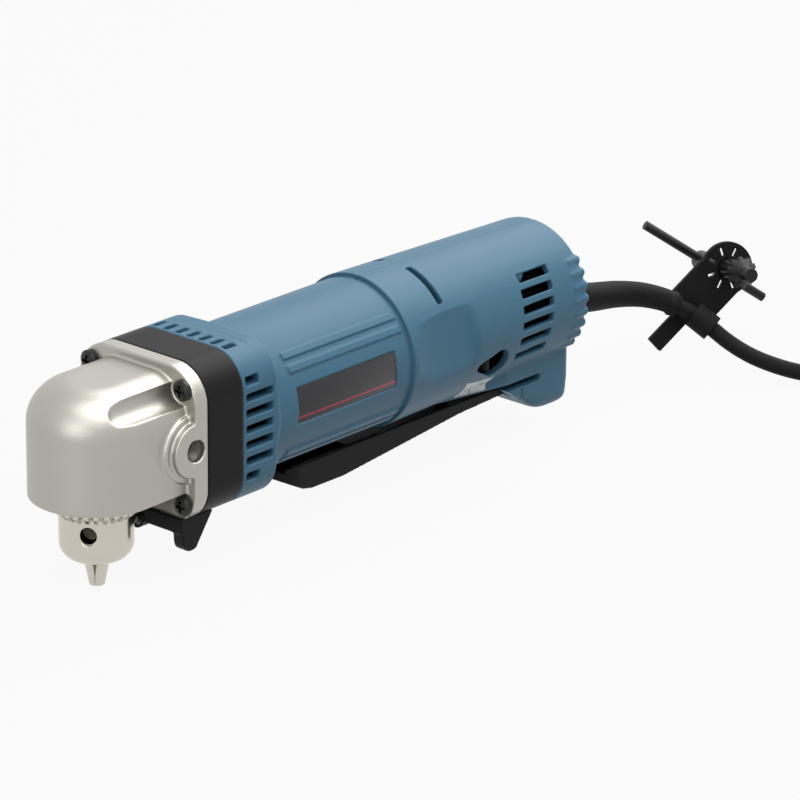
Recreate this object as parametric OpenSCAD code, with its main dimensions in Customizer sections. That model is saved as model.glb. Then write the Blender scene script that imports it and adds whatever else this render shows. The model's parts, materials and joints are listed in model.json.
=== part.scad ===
// Corded right-angle drill with a keyed three-jaw chuck, in millimetres.
// Origin: on the spindle axis at the tips of the closed jaws. +Z is up, +X runs back along the motor.

/* [Gear head] */
// Height of the motor axis above the jaw tips
motor_z = 53; // [52:0.5:55]
// Radius of the head's nose about the spindle
nose_r = 25; // [24.5:0.5:27]
// Height of the skirt's lower edge
skirt_z = 35.5; // [35:0.25:37]
// Height of the head's top above the motor axis
head_rise = 27; // [27:0.5:30]
// Radius of the shoulder that rounds the head's top
dome_r = 16; // [14:0.5:19]
// Front face of the screw flange
flange_x = 22; // [22:0.5:24]
// Thickness of the screw flange
flange_t = 6.3; // [6:0.1:8]
// Length of the bearing box behind the flange
box_len = 18.6; // [18.6:0.2:22]
// How far the bearing box stands out beyond the barrel at each side
box_side = 0.4; // [0.4:0.1:2]
// How far the bearing box stands out above and below the barrel
box_rise = 1.1; // [0.8:0.1:2.5]
// Corner radius of the flange and bearing box
box_corner = 14.6; // [12:0.2:16]
// Distance of the head screws from the flange's sides
screw_in_y = 6.2; // [6:0.1:6.8]
// Distance of the head screws from the flange's top and bottom
screw_in_z = 8; // [7.5:0.1:8.5]
// Shank radius of the head screws
screw_r = 2; // [1.5:0.1:2.2]
// Tapping radius of the side handle's threaded holes
side_hole_r = 3.4; // [2.5:0.1:4]
// Depth of the side handle's threaded holes
side_hole_depth = 10; // [6:0.5:10]

/* [Chuck] */
// Radius of the chuck's nose
chuck_r = 13.9; // [13.2:0.1:14]
// Height of the chuck's mouth
chuck_mouth_z = 10.5; // [8:0.5:11]
// Height of the chuck's top face
chuck_top_z = 47.5; // [47:0.25:48]
// Outer radius of the toothed sleeve
sleeve_r = 17.2; // [17:0.1:17.5]
// Teeth on the sleeve
sleeve_teeth = 28; // [20:1:32]
// Radius of a jaw
jaw_r = 3.2; // [2.8:0.1:3.2]
// Length of a jaw
jaw_len = 26; // [24:0.5:26.5]
// Slope of a jaw from the spindle axis
jaw_tilt = 14; // [13:0.25:14]
// Radius of the holes for the chuck key's pilot
key_hole_r = 3.1; // [2.6:0.1:3.4]
// Height of the holes for the chuck key's pilot
key_hole_z = 23.6; // [22:0.2:25]
// Turn of the chuck about the spindle
chuck_turn = 212; // [180:1:240]

/* [Gear train] */
// Teeth on the armature's pinion
pinion_teeth = 7; // [7:1:8]
// Teeth on the countershaft's gear
gear_teeth = 29; // [27:1:31]
// Height of the countershaft above the motor axis, as a share of the flange's half height
shaft_share = 0.426; // [0.41:0.002:0.44]
// Teeth on the bevel pinion
bevel_pinion_teeth = 9; // [8:1:10]
// Teeth on the bevel gear
bevel_gear_teeth = 26; // [24:1:28]
// Module of the bevel teeth
bevel_module = 1.05; // [1:0.01:1.08]
// Length of the bevel teeth
bevel_face = 4.5; // [3:0.25:5]

/* [Motor] */
// Length of the vented collar behind the bearing box
collar_len = 17.1; // [16:0.2:19]
// Length of the shoulder between collar and barrel
shoulder_len = 6; // [4:0.5:9]
// Radius of the motor barrel
barrel_r = 29.4; // [29:0.1:29.6]
// Length of the motor housing
motor_len = 92.9; // [92:0.5:96]
// Wall of the motor housing
wall = 3.2; // [2.6:0.1:3.4]
// Vent slots on each side of the collar
collar_vents = 7; // [5:1:7]
// Distance between the collar's side slots
collar_vent_pitch = 6.2; // [5.6:0.1:6.4]
// Distance from the armature's iron core out to the housing's bore
stator_t = 10.2; // [9.8:0.1:12]
// Length of the armature's iron core
armature_len = 38; // [30:1:40]
// Room between the fan and the housing's bore
fan_gap = 1.7; // [1.2:0.1:4]
// Blades on the fan
fan_blades = 12; // [8:1:16]
// Radius of the armature shaft
motor_shaft_r = 3; // [2.6:0.1:3]

/* [Rear handle] */
// Length of the rear handle
handle_len = 107.2; // [106:0.2:110]
// How far the handle stands out beyond the motor barrel
handle_step = 1.4; // [1.2:0.1:1.6]
// How much the handle's radius shrinks towards its rear end
handle_taper = 2.2; // [1.4:0.1:2.6]
// Rounding of the handle's rear edge
handle_round = 5; // [4.5:0.5:8]
// Slope of the handle below the motor axis
handle_droop = 0.3; // [0:0.1:0.6]
// Wall of the handle
handle_wall = 3; // [2.6:0.1:3.2]
// Vents on each side of the handle
handle_vents = 6; // [4:1:6]
// Half width of the heel that holds the lever's pivot
heel_hw = 19.5; // [18.5:0.25:21]
// Length of the heel
heel_len = 40; // [39:0.5:42]
// Depth of the heel's sole below the lever's upper edge
heel_drop = 14.25; // [13:0.25:15]

/* [Switch] */
// Length of the paddle lever in front of its pivot
lever_len = 146; // [140:0.5:148]
// Half width of the paddle lever
lever_hw = 12.5; // [11.5:0.25:13]
// Gap between the motor barrel and the lever's upper edge
lever_gap = 1.6; // [1.6:0.1:2]
// Wall of the paddle lever
lever_wall = 2.2; // [1.8:0.1:2.5]
// Full stroke of the lever in degrees
lever_stroke = 1.6; // [1:0.1:1.6]
// Radius of the lever's pivot pin
lever_pin_r = 2; // [1.6:0.1:2.2]
// Distance that the lock button slides
lock_stroke = 3; // [2:0.25:3.5]

/* [Cord] */
// Diameter of the cord
cord_d = 6.6; // [6:0.1:7]
// Radius of the cord guard at the handle
guard_r = 7; // [6:0.1:7.5]
// Radius of the cord guard at its thin end
guard_end_r = 4.7; // [4.4:0.1:5]
// Turns in each layer of the put-away coil
layer_turns = 3.625; // [3.125:0.5:3.625]
// Distance between neighbouring turns of the coil
coil_pitch = 7.2; // [7.1:0.1:7.4]
// Inner radius of the coil, to the middle of the cord
coil_in_r = 26.5; // [26:0.5:28]
// Radius of a plug pin
plug_pin_r = 2.4; // [2:0.1:2.4]
// Distance between the plug pins
plug_pin_gap = 19; // [18:0.5:20]

/* [Hidden] */
$fn = 48;
eps = 0.01;
// Named clearances
run_gap = 0.02;
slip_gap = 0.05;
free_gap = 0.3;
air_gap = 1;

// Stations along the motor axis
ring_x = flange_x + flange_t;
collar_x = ring_x + box_len;
collar_end_x = collar_x + collar_len;
handle_x = collar_x + motor_len;
rear_x = handle_x + handle_len;
head_top_z = motor_z + head_rise;
box_hw = barrel_r + box_side;
box_hh = barrel_r + box_rise;
screw_y = box_hw - screw_in_y;
screw_dz = box_hh - screw_in_z;
shaft_rise = shaft_share * box_hh;
shaft_z = motor_z + shaft_rise;

// Spindle, from the chuck up
chuck_seat_r = 4.6;
chuck_seat_depth = 14;
spindle_collar_r = 8;
spindle_r = 6;
spindle_top_r = 4;
lower_bearing_r = 14;
lower_bearing_h = 8;
upper_bearing_r = 11;
upper_bearing_h = 6.5;
spindle_collar_h = 1.2;
lower_bearing_z = chuck_top_z + spindle_collar_h;
gear_back_z = lower_bearing_z + lower_bearing_h + 0.6;

// Bevel pair: pitch radii, slopes and blanks
bevel_gear_r = bevel_module * bevel_gear_teeth / 2;
bevel_pinion_r = bevel_module * bevel_pinion_teeth / 2;
bevel_reach = norm([bevel_gear_r, bevel_pinion_r]);
bevel_inner = (bevel_reach - bevel_face) / bevel_reach;
gear_slope = atan2(bevel_gear_r, bevel_pinion_r);
bevel_add = 0.66 * bevel_module;
bevel_ded = 1.0 * bevel_module;
bevel_tip_w = 0.32 * bevel_module;
bevel_root_w = 0.72 * bevel_module;
gear_blank_h = shaft_z - gear_back_z;
upper_bearing_z = shaft_z + bevel_pinion_r + bevel_add + 0.6;

// Spur pair
spur_module = 2 * shaft_rise / (pinion_teeth + gear_teeth);
pinion_r = spur_module * pinion_teeth / 2;
gear_r = spur_module * gear_teeth / 2;
spur_x = ring_x + 0.9;
spur_w = 8;

// Bearings of countershaft and armature
counter_r = 4;
counter_tail_r = 2.5;
counter_bearing_r = 9.5;
counter_bearing_w = 6;
counter_bearing_x = flange_x - counter_bearing_w;
bush_r = 3.5;
bush_x = spur_x + spur_w + 0.8;
bush_len = 5;
front_bearing_r = 7.5;
front_bearing_w = 5.5;
front_bearing_x = collar_x - front_bearing_w;
rear_bearing_r = 9.5;
rear_bearing_w = 6;
rear_bearing_x = handle_x + 0.1697 * handle_len;
gear_pocket_r = gear_r + 2;

// Motor
barrel_bore_r = barrel_r - wall;
armature_r = barrel_bore_r - stator_t;
fan_r = barrel_bore_r - fan_gap;
stator_r = barrel_bore_r - slip_gap;
stator_bore_r = armature_r + 0.7;
stator_x = collar_end_x + 20;
coil_head = 6.5;
commutator_r = 11;
commutator_x = handle_x + 1.5;
commutator_len = 11.5;
fan_x = collar_x + 5;
fan_w = 11;
baffle_x = collar_end_x + 2;
baffle_t = 2.5;

// Chuck
chuck_round = 7;
chuck_bore_r = 4.9;
jaw_offset = 1.4;
jaw_travel = 20;
jaw_tip_r = 2.9;
jaw_mouth_r = 5;
jaw_split = 0.12;
jaw_turn = chuck_turn - 60;
sleeve_bore_r = 16;
sleeve_low_z = skirt_z - 7;
sleeve_step_z = skirt_z + 0.1;
groove_z = skirt_z + 0.3;
groove_h = 5.8;
groove_r = 12.4;
nut_h = groove_h - 0.5;
jaw_side = jaw_r / cos(jaw_tilt);
jaw_slope = tan(jaw_tilt);

// Handle and lever, with stations that share out the handle's length
handle_r = barrel_r + handle_step;
handle_end_r = handle_r - handle_taper;
lever_pivot_x = rear_x - 17;
lever_top_z = motor_z - barrel_r - lever_gap;
lever_pivot_z = lever_top_z - 1.8;
lever_front_x = lever_pivot_x - lever_len;
heel_end_x = rear_x;
heel_x = heel_end_x - heel_len;
heel_z = lever_top_z - heel_drop;
function station(share) = handle_x + share * handle_len;
plunger_x = station(0.4681);
plunger_r = 3;
lock_x = lever_front_x + 48;
lock_len = 17;
lock_hw = 4.5;
reverse_x = station(0.478);
reverse_z = motor_z - 12.5;
reverse_y = -9;

// Cord guard and free cord: points along the middle, chosen by hand, back from the handle's end
guard_steps = [
    [-2, 0, -4.4], [4, 0, -5.9], [15, 0, -10], [33, 0, -14.6], [50, -1, -17.4], [63, -3.6, -20.4],
    [72, -8, -23.8], [76, -12, -26.6]
];
cord_steps = [
    [76, -12, 22.1], [78, -14, 20.7], [81.2, -18, 17.7], [84, -24, 13.1], [86, -32, 8.3],
    [88.4, -42, 4.3], [92, -54, 1.6], [96.6, -66, 0.4], [103.5, -81.5, 0], [114.5, -96.5, 0],
    [130.5, -107.8, 0], [150, -112.6, 0], [169, -112.6, 0], [187.4, -112.6, 0]
];
tail = [rear_x, 0, motor_z];
guard_route = [for (p = guard_steps) tail + p];
guard_tip = guard_route[len(guard_route) - 1];
coil_floor = 4.3;
cord_fall = (guard_tip[2] - coil_floor) / cord_steps[0][2];
cord_route = [for (p = cord_steps) [rear_x + p[0], p[1], coil_floor + cord_fall * p[2]]];
cord_r = cord_d / 2;
coil_out_r = coil_in_r + coil_pitch * layer_turns;
coil_turns = 2 * layer_turns;
coil_start = cord_route[len(cord_route) - 1];
coil_middle = coil_start + [cord_d, coil_out_r, 0];
coil_end_len = 24;
rings_per_turn = 24;
coil_end_turn = -90 + 360 * coil_turns;
coil_end_way = [-sin(coil_end_turn), cos(coil_end_turn), 0];
coil_lift = cord_d + 0.6;

// Chuck key in its holder: middle of the disc, key axis and direction of the strap
key_axis = [-0.475, -0.857, 0.2];
strap_way = [0.73, -0.262, 0.632];
holder_disc = tail + [102, -16.6, -15.8];
holder_disc_r = 11;
holder_t = 2.6;
strap_len = 44;
strap_hw = 3.5;
key_shank_r = 4.2;
key_front = 26;
key_back = 28;
key_pilot_r = 2.9;
key_gear_r = 6.6;
key_teeth = 10;
bar_r = 1.9;
bar_half = 31;
bar_way = [0.662, -0.497, -0.561];
loop_at = tail + [82.4, -20.4, -32.8];
loop_way = [3, -6.4, -5];

blue = "#4a7896";
silver = "#c9c6bd";
black = "#1d1d1f";
steel = "#b7b9bb";
copper = "#a8623a";
iron = "#6f7478";

// Helpers: solids along the axes
module rod_x(x0, x1, r, y = 0, z = motor_z)
    translate([x0, y, z]) rotate([0, 90, 0]) cylinder(h = x1 - x0, r = r);
module rod_y(y0, y1, r, x, z)
    translate([x, y0, z]) rotate([-90, 0, 0]) cylinder(h = y1 - y0, r = r);
module block(x, y, z)
    translate([x[0], y[0], z[0]]) cube([x[1] - x[0], y[1] - y[0], z[1] - z[0]]);
module extrude_x(x0, x1)
    translate([x0, 0, 0]) rotate([90, 0, 90]) linear_extrude(x1 - x0) children();
module extrude_y(y0, y1)
    translate([0, y1, 0]) rotate([90, 0, 0]) linear_extrude(y1 - y0) children();
module both_sides() {
    children();
    mirror([0, 1, 0]) children();
}
module ring_z(z0, z1, r_in, r_out)
    translate([0, 0, z0]) rotate_extrude() translate([r_in, 0]) square([r_out - r_in, z1 - z0]);
module ring_x(x0, x1, r_in, r_out, z = motor_z)
    translate([x0, 0, z]) rotate([0, 90, 0]) rotate_extrude() translate([r_in, 0])
        square([r_out - r_in, x1 - x0]);
module rounded(hw, hh, r) {
    square([2 * (hw - r), 2 * hh], center = true);
    square([2 * hw, 2 * (hh - r)], center = true);
    for (sx = [-1, 1], sy = [-1, 1]) translate([sx * (hw - r), sy * (hh - r)]) circle(r);
}
module box_outline() translate([0, motor_z]) rounded(box_hw, box_hh, box_corner);
module at_screws() for (sy = [-1, 1], sz = [-1, 1])
    translate([0, sy * screw_y, motor_z + sz * screw_dz]) children();

// A ball bearing as one ring with a seal groove on each face
module bearing(r_in, r_out, w) {
    mid = (r_in + r_out) / 2;
    half = (r_out - r_in) / 5;
    dip = 0.5;
    rotate_extrude() difference() {
        translate([r_in, 0]) square([r_out - r_in, w]);
        translate([mid - half, -eps]) square([2 * half, dip]);
        translate([mid - half, w - dip + eps]) square([2 * half, dip]);
    }
}

// Sweep of a round tube along points, with level sides
function unit(v) = v / norm(v);
function tangent(p, i) = unit(p[min(i + 1, len(p) - 1)] - p[max(i - 1, 0)]);
function ring_at(p, i, r, n) =
    let (t = tangent(p, i), side = unit(cross(t, [0, 0, 1])), up = cross(side, t))
    [for (k = [0:n - 1]) p[i] + r * (cos(360 * k / n) * side + sin(360 * k / n) * up)];
module tube(p, radii, n) {
    m = len(p);
    points = [for (i = [0:m - 1]) each ring_at(p, i, radii[i], n)];
    walls = [for (i = [0:m - 2], k = [0:n - 1], h = [0, 1])
        let (a = i * n + k, b = i * n + (k + 1) % n)
        h == 0 ? [a, b, a + n] : [b, b + n, a + n]];
    ends = [for (k = [1:n - 2]) each [[0, k + 1, k], [(m - 1) * n, (m - 1) * n + k, (m - 1) * n + k + 1]]];
    polyhedron(points, concat(walls, ends), convexity = 12);
}
function path_len(p) = len(p) < 2 ? 0 : norm(p[1] - p[0]) + path_len([for (i = [1:len(p) - 1]) p[i]]);

// Turn from +Z to a given direction
module aim(way) {
    u = unit(way);
    rotate([0, acos(u[2]), atan2(u[1], u[0])]) children();
}

// Head
module head_profile() intersection() {
    union() {
        translate([0, skirt_z]) square([nose_r, head_top_z - dome_r - skirt_z]);
        translate([0, skirt_z]) square([nose_r - dome_r, head_top_z - skirt_z]);
        translate([nose_r - dome_r, head_top_z - dome_r]) circle(dome_r);
    }
    translate([0, skirt_z]) square([nose_r, head_top_z]);
}
module capsule_x(x0, x1, r) translate([x0, 0, 0]) rotate([0, 90, 0])
    rotate_extrude() polygon(concat([for (a = [0:15:90]) [r * sin(a), r - r * cos(a)]],
        [[r, x1 - x0], [0, x1 - x0]]));

side_boss_x = flange_x + 0.6;
side_boss_r = 10.4;
flute_r = 6.2;
flute_x = -15;
screw_head_r = 4;
screw_head_h = 2.6;
screw_end_x = collar_x + 9;

module spindle_cavity() {
    ring_z(skirt_z - eps, lower_bearing_z, 0, sleeve_r + air_gap);
    ring_z(lower_bearing_z - eps, lower_bearing_z + lower_bearing_h, 0, lower_bearing_r + slip_gap);
    ring_z(lower_bearing_z + lower_bearing_h - eps, upper_bearing_z + eps, 0, bevel_gear_r + 2);
    ring_z(upper_bearing_z, upper_bearing_z + upper_bearing_h + 0.3, 0, upper_bearing_r + slip_gap);
}
module gear_housing() color(silver) difference() {
    union() {
        rotate([0, 0, 90]) rotate_extrude(angle = 180) head_profile();
        extrude_x(0, flange_x + eps) {
            head_profile();
            mirror([1, 0]) head_profile();
        }
        extrude_x(flange_x, ring_x) box_outline();
        both_sides() rod_y(nose_r - 3, box_hw - 0.6, side_boss_r, side_boss_x, motor_z);
        both_sides() rod_y(nose_r - 3, nose_r + 1.4, side_boss_r + 2.6, side_boss_x, motor_z);
    }
    block([ring_x, ring_x + 20], [-60, 60], [0, 120]);
    spindle_cavity();
    rod_x(bevel_gear_r, ring_x + eps, counter_r + 2.2, 0, shaft_z);
    rod_x(counter_bearing_x, ring_x + eps, counter_bearing_r + slip_gap, 0, shaft_z);
    rod_x(flange_x + 0.5, ring_x + eps, gear_pocket_r, 0, shaft_z);
    both_sides() translate([0, screw_y, motor_z + screw_dz]) capsule_x(flute_x, flange_x, flute_r);
    at_screws() rod_x(0, ring_x + 1, screw_r + 0.2, 0, 0);
    both_sides() {
        rod_y(box_hw - 0.6 - side_hole_depth, box_hw, side_hole_r, side_boss_x, motor_z);
        translate([side_boss_x, box_hw - 1.9, motor_z]) rotate([-90, 0, 0])
            cylinder(h = 1.4, r1 = side_hole_r - 0.1, r2 = side_hole_r + 1.3);
    }
}
module housing_screws() color(black) at_screws() {
    rod_x(flange_x - screw_head_h, flange_x, screw_head_r, 0, 0);
    rod_x(flange_x - eps, screw_end_x, screw_r, 0, 0);
}
module bearing_box() color(black) difference() {
    extrude_x(ring_x, collar_x) box_outline();
    rod_x(ring_x - eps, spur_x + spur_w + 0.6, gear_pocket_r, 0, shaft_z);
    rod_x(ring_x - eps, spur_x + spur_w + 0.6, pinion_r + 2, 0, motor_z);
    rod_x(bush_x - 1, bush_x + bush_len, bush_r, 0, shaft_z);
    rod_x(ring_x, collar_x, motor_shaft_r + 0.7, 0, motor_z);
    rod_x(front_bearing_x, collar_x + eps, front_bearing_r + slip_gap, 0, motor_z);
    at_screws() rod_x(ring_x - 1, collar_x + 1, screw_r + 0.2, 0, 0);
}

// Lamp under the head, with two fins that shield it
lamp_x = flange_x - 1.2;
lamp_z = motor_z - box_hh - 3.6;
lamp_mid_z = lamp_z + 0.7;
lamp_end_x = ring_x + 4;
fin_y = 20.5;
fin_hw = 2.6;
fin_tip_r = 4.1;
fin_tip = [lamp_x + 5.2, lamp_z - 3.6];
fin_len = 16.4;
lens_r = 2.6;
lamp_tube_r = 3.7;
lamp_depth = 3;
module lamp_fin() extrude_y(fin_y - fin_hw, fin_y + fin_hw) polygon(concat(
    [[lamp_x, lamp_z + 6]],
    [for (a = [195:15:285]) fin_tip + fin_tip_r * [cos(a), sin(a)]],
    [[lamp_x + 7.8, lamp_z - 7.1], [lamp_x + fin_len, lamp_z + 5.1], [lamp_x + fin_len, lamp_z + 6]]));
module lamp_bracket() color(black) difference() {
    union() {
        block([lamp_x, lamp_end_x], [-fin_y - fin_hw, fin_y + fin_hw], [lamp_z, motor_z - box_hh + 2.5]);
        rod_x(lamp_x - 0.8, lamp_end_x - 2, lamp_tube_r, 0, lamp_mid_z);
        both_sides() lamp_fin();
    }
    extrude_x(flange_x, lamp_x + fin_len + 10) box_outline();
    rod_x(lamp_x - 2, lamp_x + lamp_depth, lens_r + slip_gap, 0, lamp_mid_z);
}
module lamp_lens() color("#e8eef2") translate([lamp_x + lamp_depth, 0, lamp_mid_z]) rotate([0, -90, 0]) {
    rotate_extrude() intersection() {
        union() {
            square([lens_r, lamp_depth]);
            translate([0, lamp_depth]) circle(lens_r - 0.8);
        }
        square([lens_r, 10]);
    }
}

// Motor housing: vented collar, shoulder, ribbed barrel
slot_h = 3.3;
collar_slot_x0 = collar_x + 1.8;
collar_slot_x1 = collar_end_x - 1;
rib_w = 3;
rib_h = 0.8;
rib_x0 = collar_end_x + 12;
rib_x1 = handle_x - 2;
plate_x0 = rib_x0 + 1.5;
plate_x1 = handle_x - 8;
plate_depth = 0.9;
plate_low = -10;
plate_high = 18;
module motor_shell() {
    intersection() {
        extrude_x(collar_x, collar_end_x + shoulder_len) box_outline();
        translate([collar_x, 0, motor_z]) rotate([0, 90, 0]) rotate_extrude() polygon(concat(
            [[0, 0], [box_hw + box_hh, 0], [box_hw + box_hh, collar_len]],
            [for (a = [0:15:90]) [
                barrel_r + (box_hw + box_hh - barrel_r) * pow(1 - sin(a), 3),
                collar_len + shoulder_len * (1 - cos(a))
            ]],
            [[0, collar_len + shoulder_len]]));
    }
    rod_x(collar_end_x - 4, handle_x, barrel_r);
    for (s = [-1, 1], phi = [47, 57.5, 126, 134]) translate([0, 0, motor_z]) rotate([s * phi, 0, 0])
        block([rib_x0, rib_x1], [-rib_w / 2, rib_w / 2], [barrel_r - 1.5, barrel_r + rib_h]);
}
module side_slots() for (i = [0:collar_vents - 1]) {
    k = i - (collar_vents - 1) / 2;
    z = motor_z + 0.8 + k * collar_vent_pitch;
    edge = i == 0 || i == collar_vents - 1;
    block([collar_slot_x0, edge ? collar_slot_x0 + 7 : collar_slot_x1], [16, 40],
        [z - slot_h / 2, z + slot_h / 2]);
}
top_pitch = 5.9;
module top_slots() for (i = [-3:3]) {
    block([collar_slot_x0, collar_slot_x0 + 6], [i * top_pitch - 1.4, i * top_pitch + 1.4],
        [motor_z + 17, motor_z + 60]);
    block([collar_slot_x0 + 9.5, collar_slot_x0 + 10.4], [i * top_pitch - 2, i * top_pitch + 2],
        [motor_z + 26, motor_z + 60]);
}
module motor_housing() color(blue) difference() {
    motor_shell();
    rod_x(collar_x + wall, handle_x + 1, barrel_bore_r);
    rod_x(collar_x - 1, collar_x + wall + 1, front_bearing_r + 1.5);
    both_sides() side_slots();
    top_slots();
    at_screws() rod_x(collar_x - 1, screw_end_x + 1, screw_r + 0.05, 0, 0);
    arc_plate(plate_x0 - 0.2, plate_x1 + 0.2, barrel_r - plate_depth, barrel_r + 2, plate_low - 0.4,
        plate_high + 0.4);
}
module arc_plate(x0, x1, r0, r1, low, high) translate([x0, 0, motor_z]) rotate([0, 90, 0])
    rotate([0, 0, 270 - high]) rotate_extrude(angle = high - low) translate([r0, 0])
        square([r1 - r0, x1 - x0]);
module name_plate() color("#26262a") arc_plate(plate_x0, plate_x1, barrel_r - plate_depth,
    barrel_r - 0.4, plate_low, plate_high);
module baffle() color(black) ring_x(baffle_x, baffle_x + baffle_t, armature_r + 1.5, stator_r);
module stator_core() color(iron) difference() {
    rod_x(stator_x, stator_x + armature_len, stator_r);
    rod_x(stator_x - 1, stator_x + armature_len + 1, stator_bore_r);
    both_sides() block([stator_x - 1, stator_x + armature_len + 1], [armature_r - 4, coil_wire_y[1] + 0.4],
        [motor_z - coil_slot / 2, motor_z + coil_slot / 2]);
}
coil_wire_y = [stator_bore_r + 0.5, stator_r - 3.55];
coil_slot = 14;
module field_coils() color(copper) {
    both_sides() block([stator_x - coil_head + 3, stator_x + armature_len + coil_head - 3], coil_wire_y,
        [motor_z - coil_slot / 2 + 0.4, motor_z + coil_slot / 2 - 0.4]);
    for (x = [stator_x - coil_head, stator_x + armature_len + coil_head - 4]) difference() {
        ring_x(x, x + 4, stator_bore_r + 0.5, stator_r - 2.5);
        block([x - 1, x + 5], [-40, 40], [motor_z - 1, motor_z + 1]);
    }
}

// Rear handle: two halves that meet on the middle plane
module along_handle() translate([handle_x, 0, motor_z]) rotate([0, 90 + handle_droop, 0]) children();
module handle_profile(inset, length) union() {
    r1 = handle_end_r - inset;
    round_r = handle_round - inset;
    polygon([[0, 0], [handle_r - inset, 0], [r1, length - round_r], [r1 - round_r, length], [0, length]]);
    translate([r1 - round_r, length - round_r]) intersection() {
        circle(round_r);
        square(round_r + 1);
    }
}
// Heel: a slope at its front runs into a round sole; above the slot it fades into the handle's side
heel_round = 5;
heel_slope = 35;
heel_sole_r = 24;
heel_sole_x = heel_end_x - 10;
heel_top_z = motor_z - 18;
heel_side_r = 6;
heel_plan_r = 5;
slope_z = heel_z + heel_sole_r * (1 - cos(heel_slope));
slope_x = heel_sole_x - heel_sole_r * sin(heel_slope);
slot_h2 = 2.9;
slot_low_z = lever_top_z + 0.2;
slot_end_x = lever_pivot_x - 3.3;
fade_len = 35;
heel_seam_x = heel_x + 9.6;
module heel_block() intersection() {
    extrude_y(-heel_hw, heel_hw) polygon(concat(
        [[heel_x, heel_top_z], [heel_x, slope_z + tan(heel_slope) * (slope_x - heel_x)]],
        [for (a = [270 - heel_slope:5:270])
            [heel_sole_x, heel_z + heel_sole_r] + heel_sole_r * [cos(a), sin(a)]],
        [for (a = [270:10:360]) [heel_end_x, heel_z] + heel_round * [cos(a) - 1, sin(a) + 1]],
        [[heel_end_x, heel_top_z]]));
    extrude_x(heel_x - 1, heel_end_x + 1) translate([0, heel_z + 25]) rounded(heel_hw, 25, heel_side_r);
    translate([heel_end_x - 40, 0, 0]) linear_extrude(60) rounded(40, heel_hw, heel_plan_r);
}
module heel_fade() translate([0, 0, slot_low_z + slot_h2]) linear_extrude(heel_top_z - slot_low_z - slot_h2)
    polygon([
        [heel_x - fade_len, lever_hw], [heel_x + 1, heel_hw],
        [heel_x + 1, -heel_hw], [heel_x - fade_len, -lever_hw]
    ]);
rear_rib_pitch = 11;
joint_w = 0.9;
joint_deep = 1.9;
module handle_shell() difference() {
    union() {
        along_handle() rotate_extrude() handle_profile(0, handle_len);
        difference() {
            heel_block();
            lever_slot();
        }
        heel_fade();
        both_sides() along_handle() rear_bumps();
    }
    block([handle_x - 20, handle_x], [-60, 60], [-20, 120]);
    ring_x(handle_x - 1, handle_x + joint_w, handle_r - joint_deep, handle_r + 5);
    difference() {
        along_handle() translate([0, 0, -1]) rotate_extrude() handle_profile(handle_wall, handle_len - 3);
        bearing_web();
        both_sides() scoop_back();
    }
    ring_x(rear_bearing_x, rear_bearing_x + rear_bearing_w, 0, rear_bearing_r + slip_gap);
    rod_x(handle_x, handle_x + 40, motor_shaft_r + 1);
    rod_z(plunger_x, 0, motor_z - 40, motor_z - 10, plunger_r + 0.2);
    rod_y(-heel_hw + 3, heel_hw - 3, lever_pin_r, lever_pivot_x, lever_pivot_z);
    both_sides() along_handle() handle_cuts();
    guard_seat();
}
module rod_z(x, y, z0, z1, r) translate([x, y, z0]) cylinder(h = z1 - z0, r = r);
module bearing_web() difference() {
    block([rear_bearing_x - 1, rear_bearing_x + rear_bearing_w + 1], [-handle_r, handle_r],
        [motor_z - handle_r, motor_z + handle_r]);
    both_sides() block([rear_bearing_x - 2, rear_bearing_x + rear_bearing_w + 2], [14, 40], [0, 100]);
    block([rear_bearing_x - 2, rear_bearing_x + rear_bearing_w + 2], [-40, 40], [motor_z + 14, 120]);
}
// Room for the lever inside the heel, and the slot that shows at its sides
slot_z = lever_pivot_z - 3.2;
module lever_slot() {
    block([heel_x - 1, lever_pivot_x + 5], [-lever_hw - 1, lever_hw + 1], [slot_z, lever_top_z + 6]);
    block([heel_x - 1, slot_end_x], [-40, 40], [slot_low_z, slot_low_z + slot_h2]);
    rod_y(-40, 40, slot_h2 / 2, slot_end_x, slot_low_z + slot_h2 / 2);
    both_sides() block([heel_seam_x, heel_seam_x + 0.9], [heel_hw - 0.6, 40], [0, slot_low_z + 1]);
}
vent_x0 = 0.638 * handle_len;
vent_len = 18.5;
vent_w = 3.6;
vent_first = 53.2;
vent_pitch = 12.6;
vent_shift = 0.8;
arc_slot_x = 0.217 * handle_len;
arc_slot_w = 3;
arc_slot_from = 12;
arc_slot_to = 51;
scoop_x0 = 0.035 * handle_len;
scoop_rise = 0.2 * handle_len;
scoop_len = 0.308 * handle_len;
scoop_deep = 3.4;
scoop_turn = 8;
bump_r = 2;
bump_in = 1.4;
bump_first = 54;
module scoop_side() polygon(concat(
    [[handle_r + 9, scoop_x0]],
    [for (a = [0:15:90]) [handle_r + 0.3 - (scoop_deep + 0.3) * sin(a),
        scoop_x0 + scoop_rise * (1 - cos(a))]],
    [[handle_r - scoop_deep - 0.1, scoop_x0 + scoop_len], [handle_r, scoop_x0 + scoop_len + 2.6],
        [handle_r + 9, scoop_x0 + scoop_len + 3]]));
module scoop_back() along_handle() rotate([0, 0, scoop_turn])
    translate([-18, handle_r - scoop_deep - 2.5, 1]) cube([34, 20, scoop_x0 + scoop_len + 4]);
module handle_cuts() {
    for (i = [0:handle_vents - 1]) rotate([0, 0, 180 - vent_first - vent_pitch * i])
        translate([handle_end_r - 8, -vent_w / 2, vent_x0 - vent_shift * i]) cube([16, vent_w, vent_len]);
    rotate([0, 0, 180 - arc_slot_to]) translate([0, 0, arc_slot_x - arc_slot_w / 2])
        rotate_extrude(angle = arc_slot_to - arc_slot_from) translate([handle_r - handle_wall - 2, 0])
            square([handle_wall + 6, arc_slot_w]);
    rotate([0, 0, scoop_turn]) rotate([90, 0, 90]) linear_extrude(80, center = true) scoop_side();
}
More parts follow.
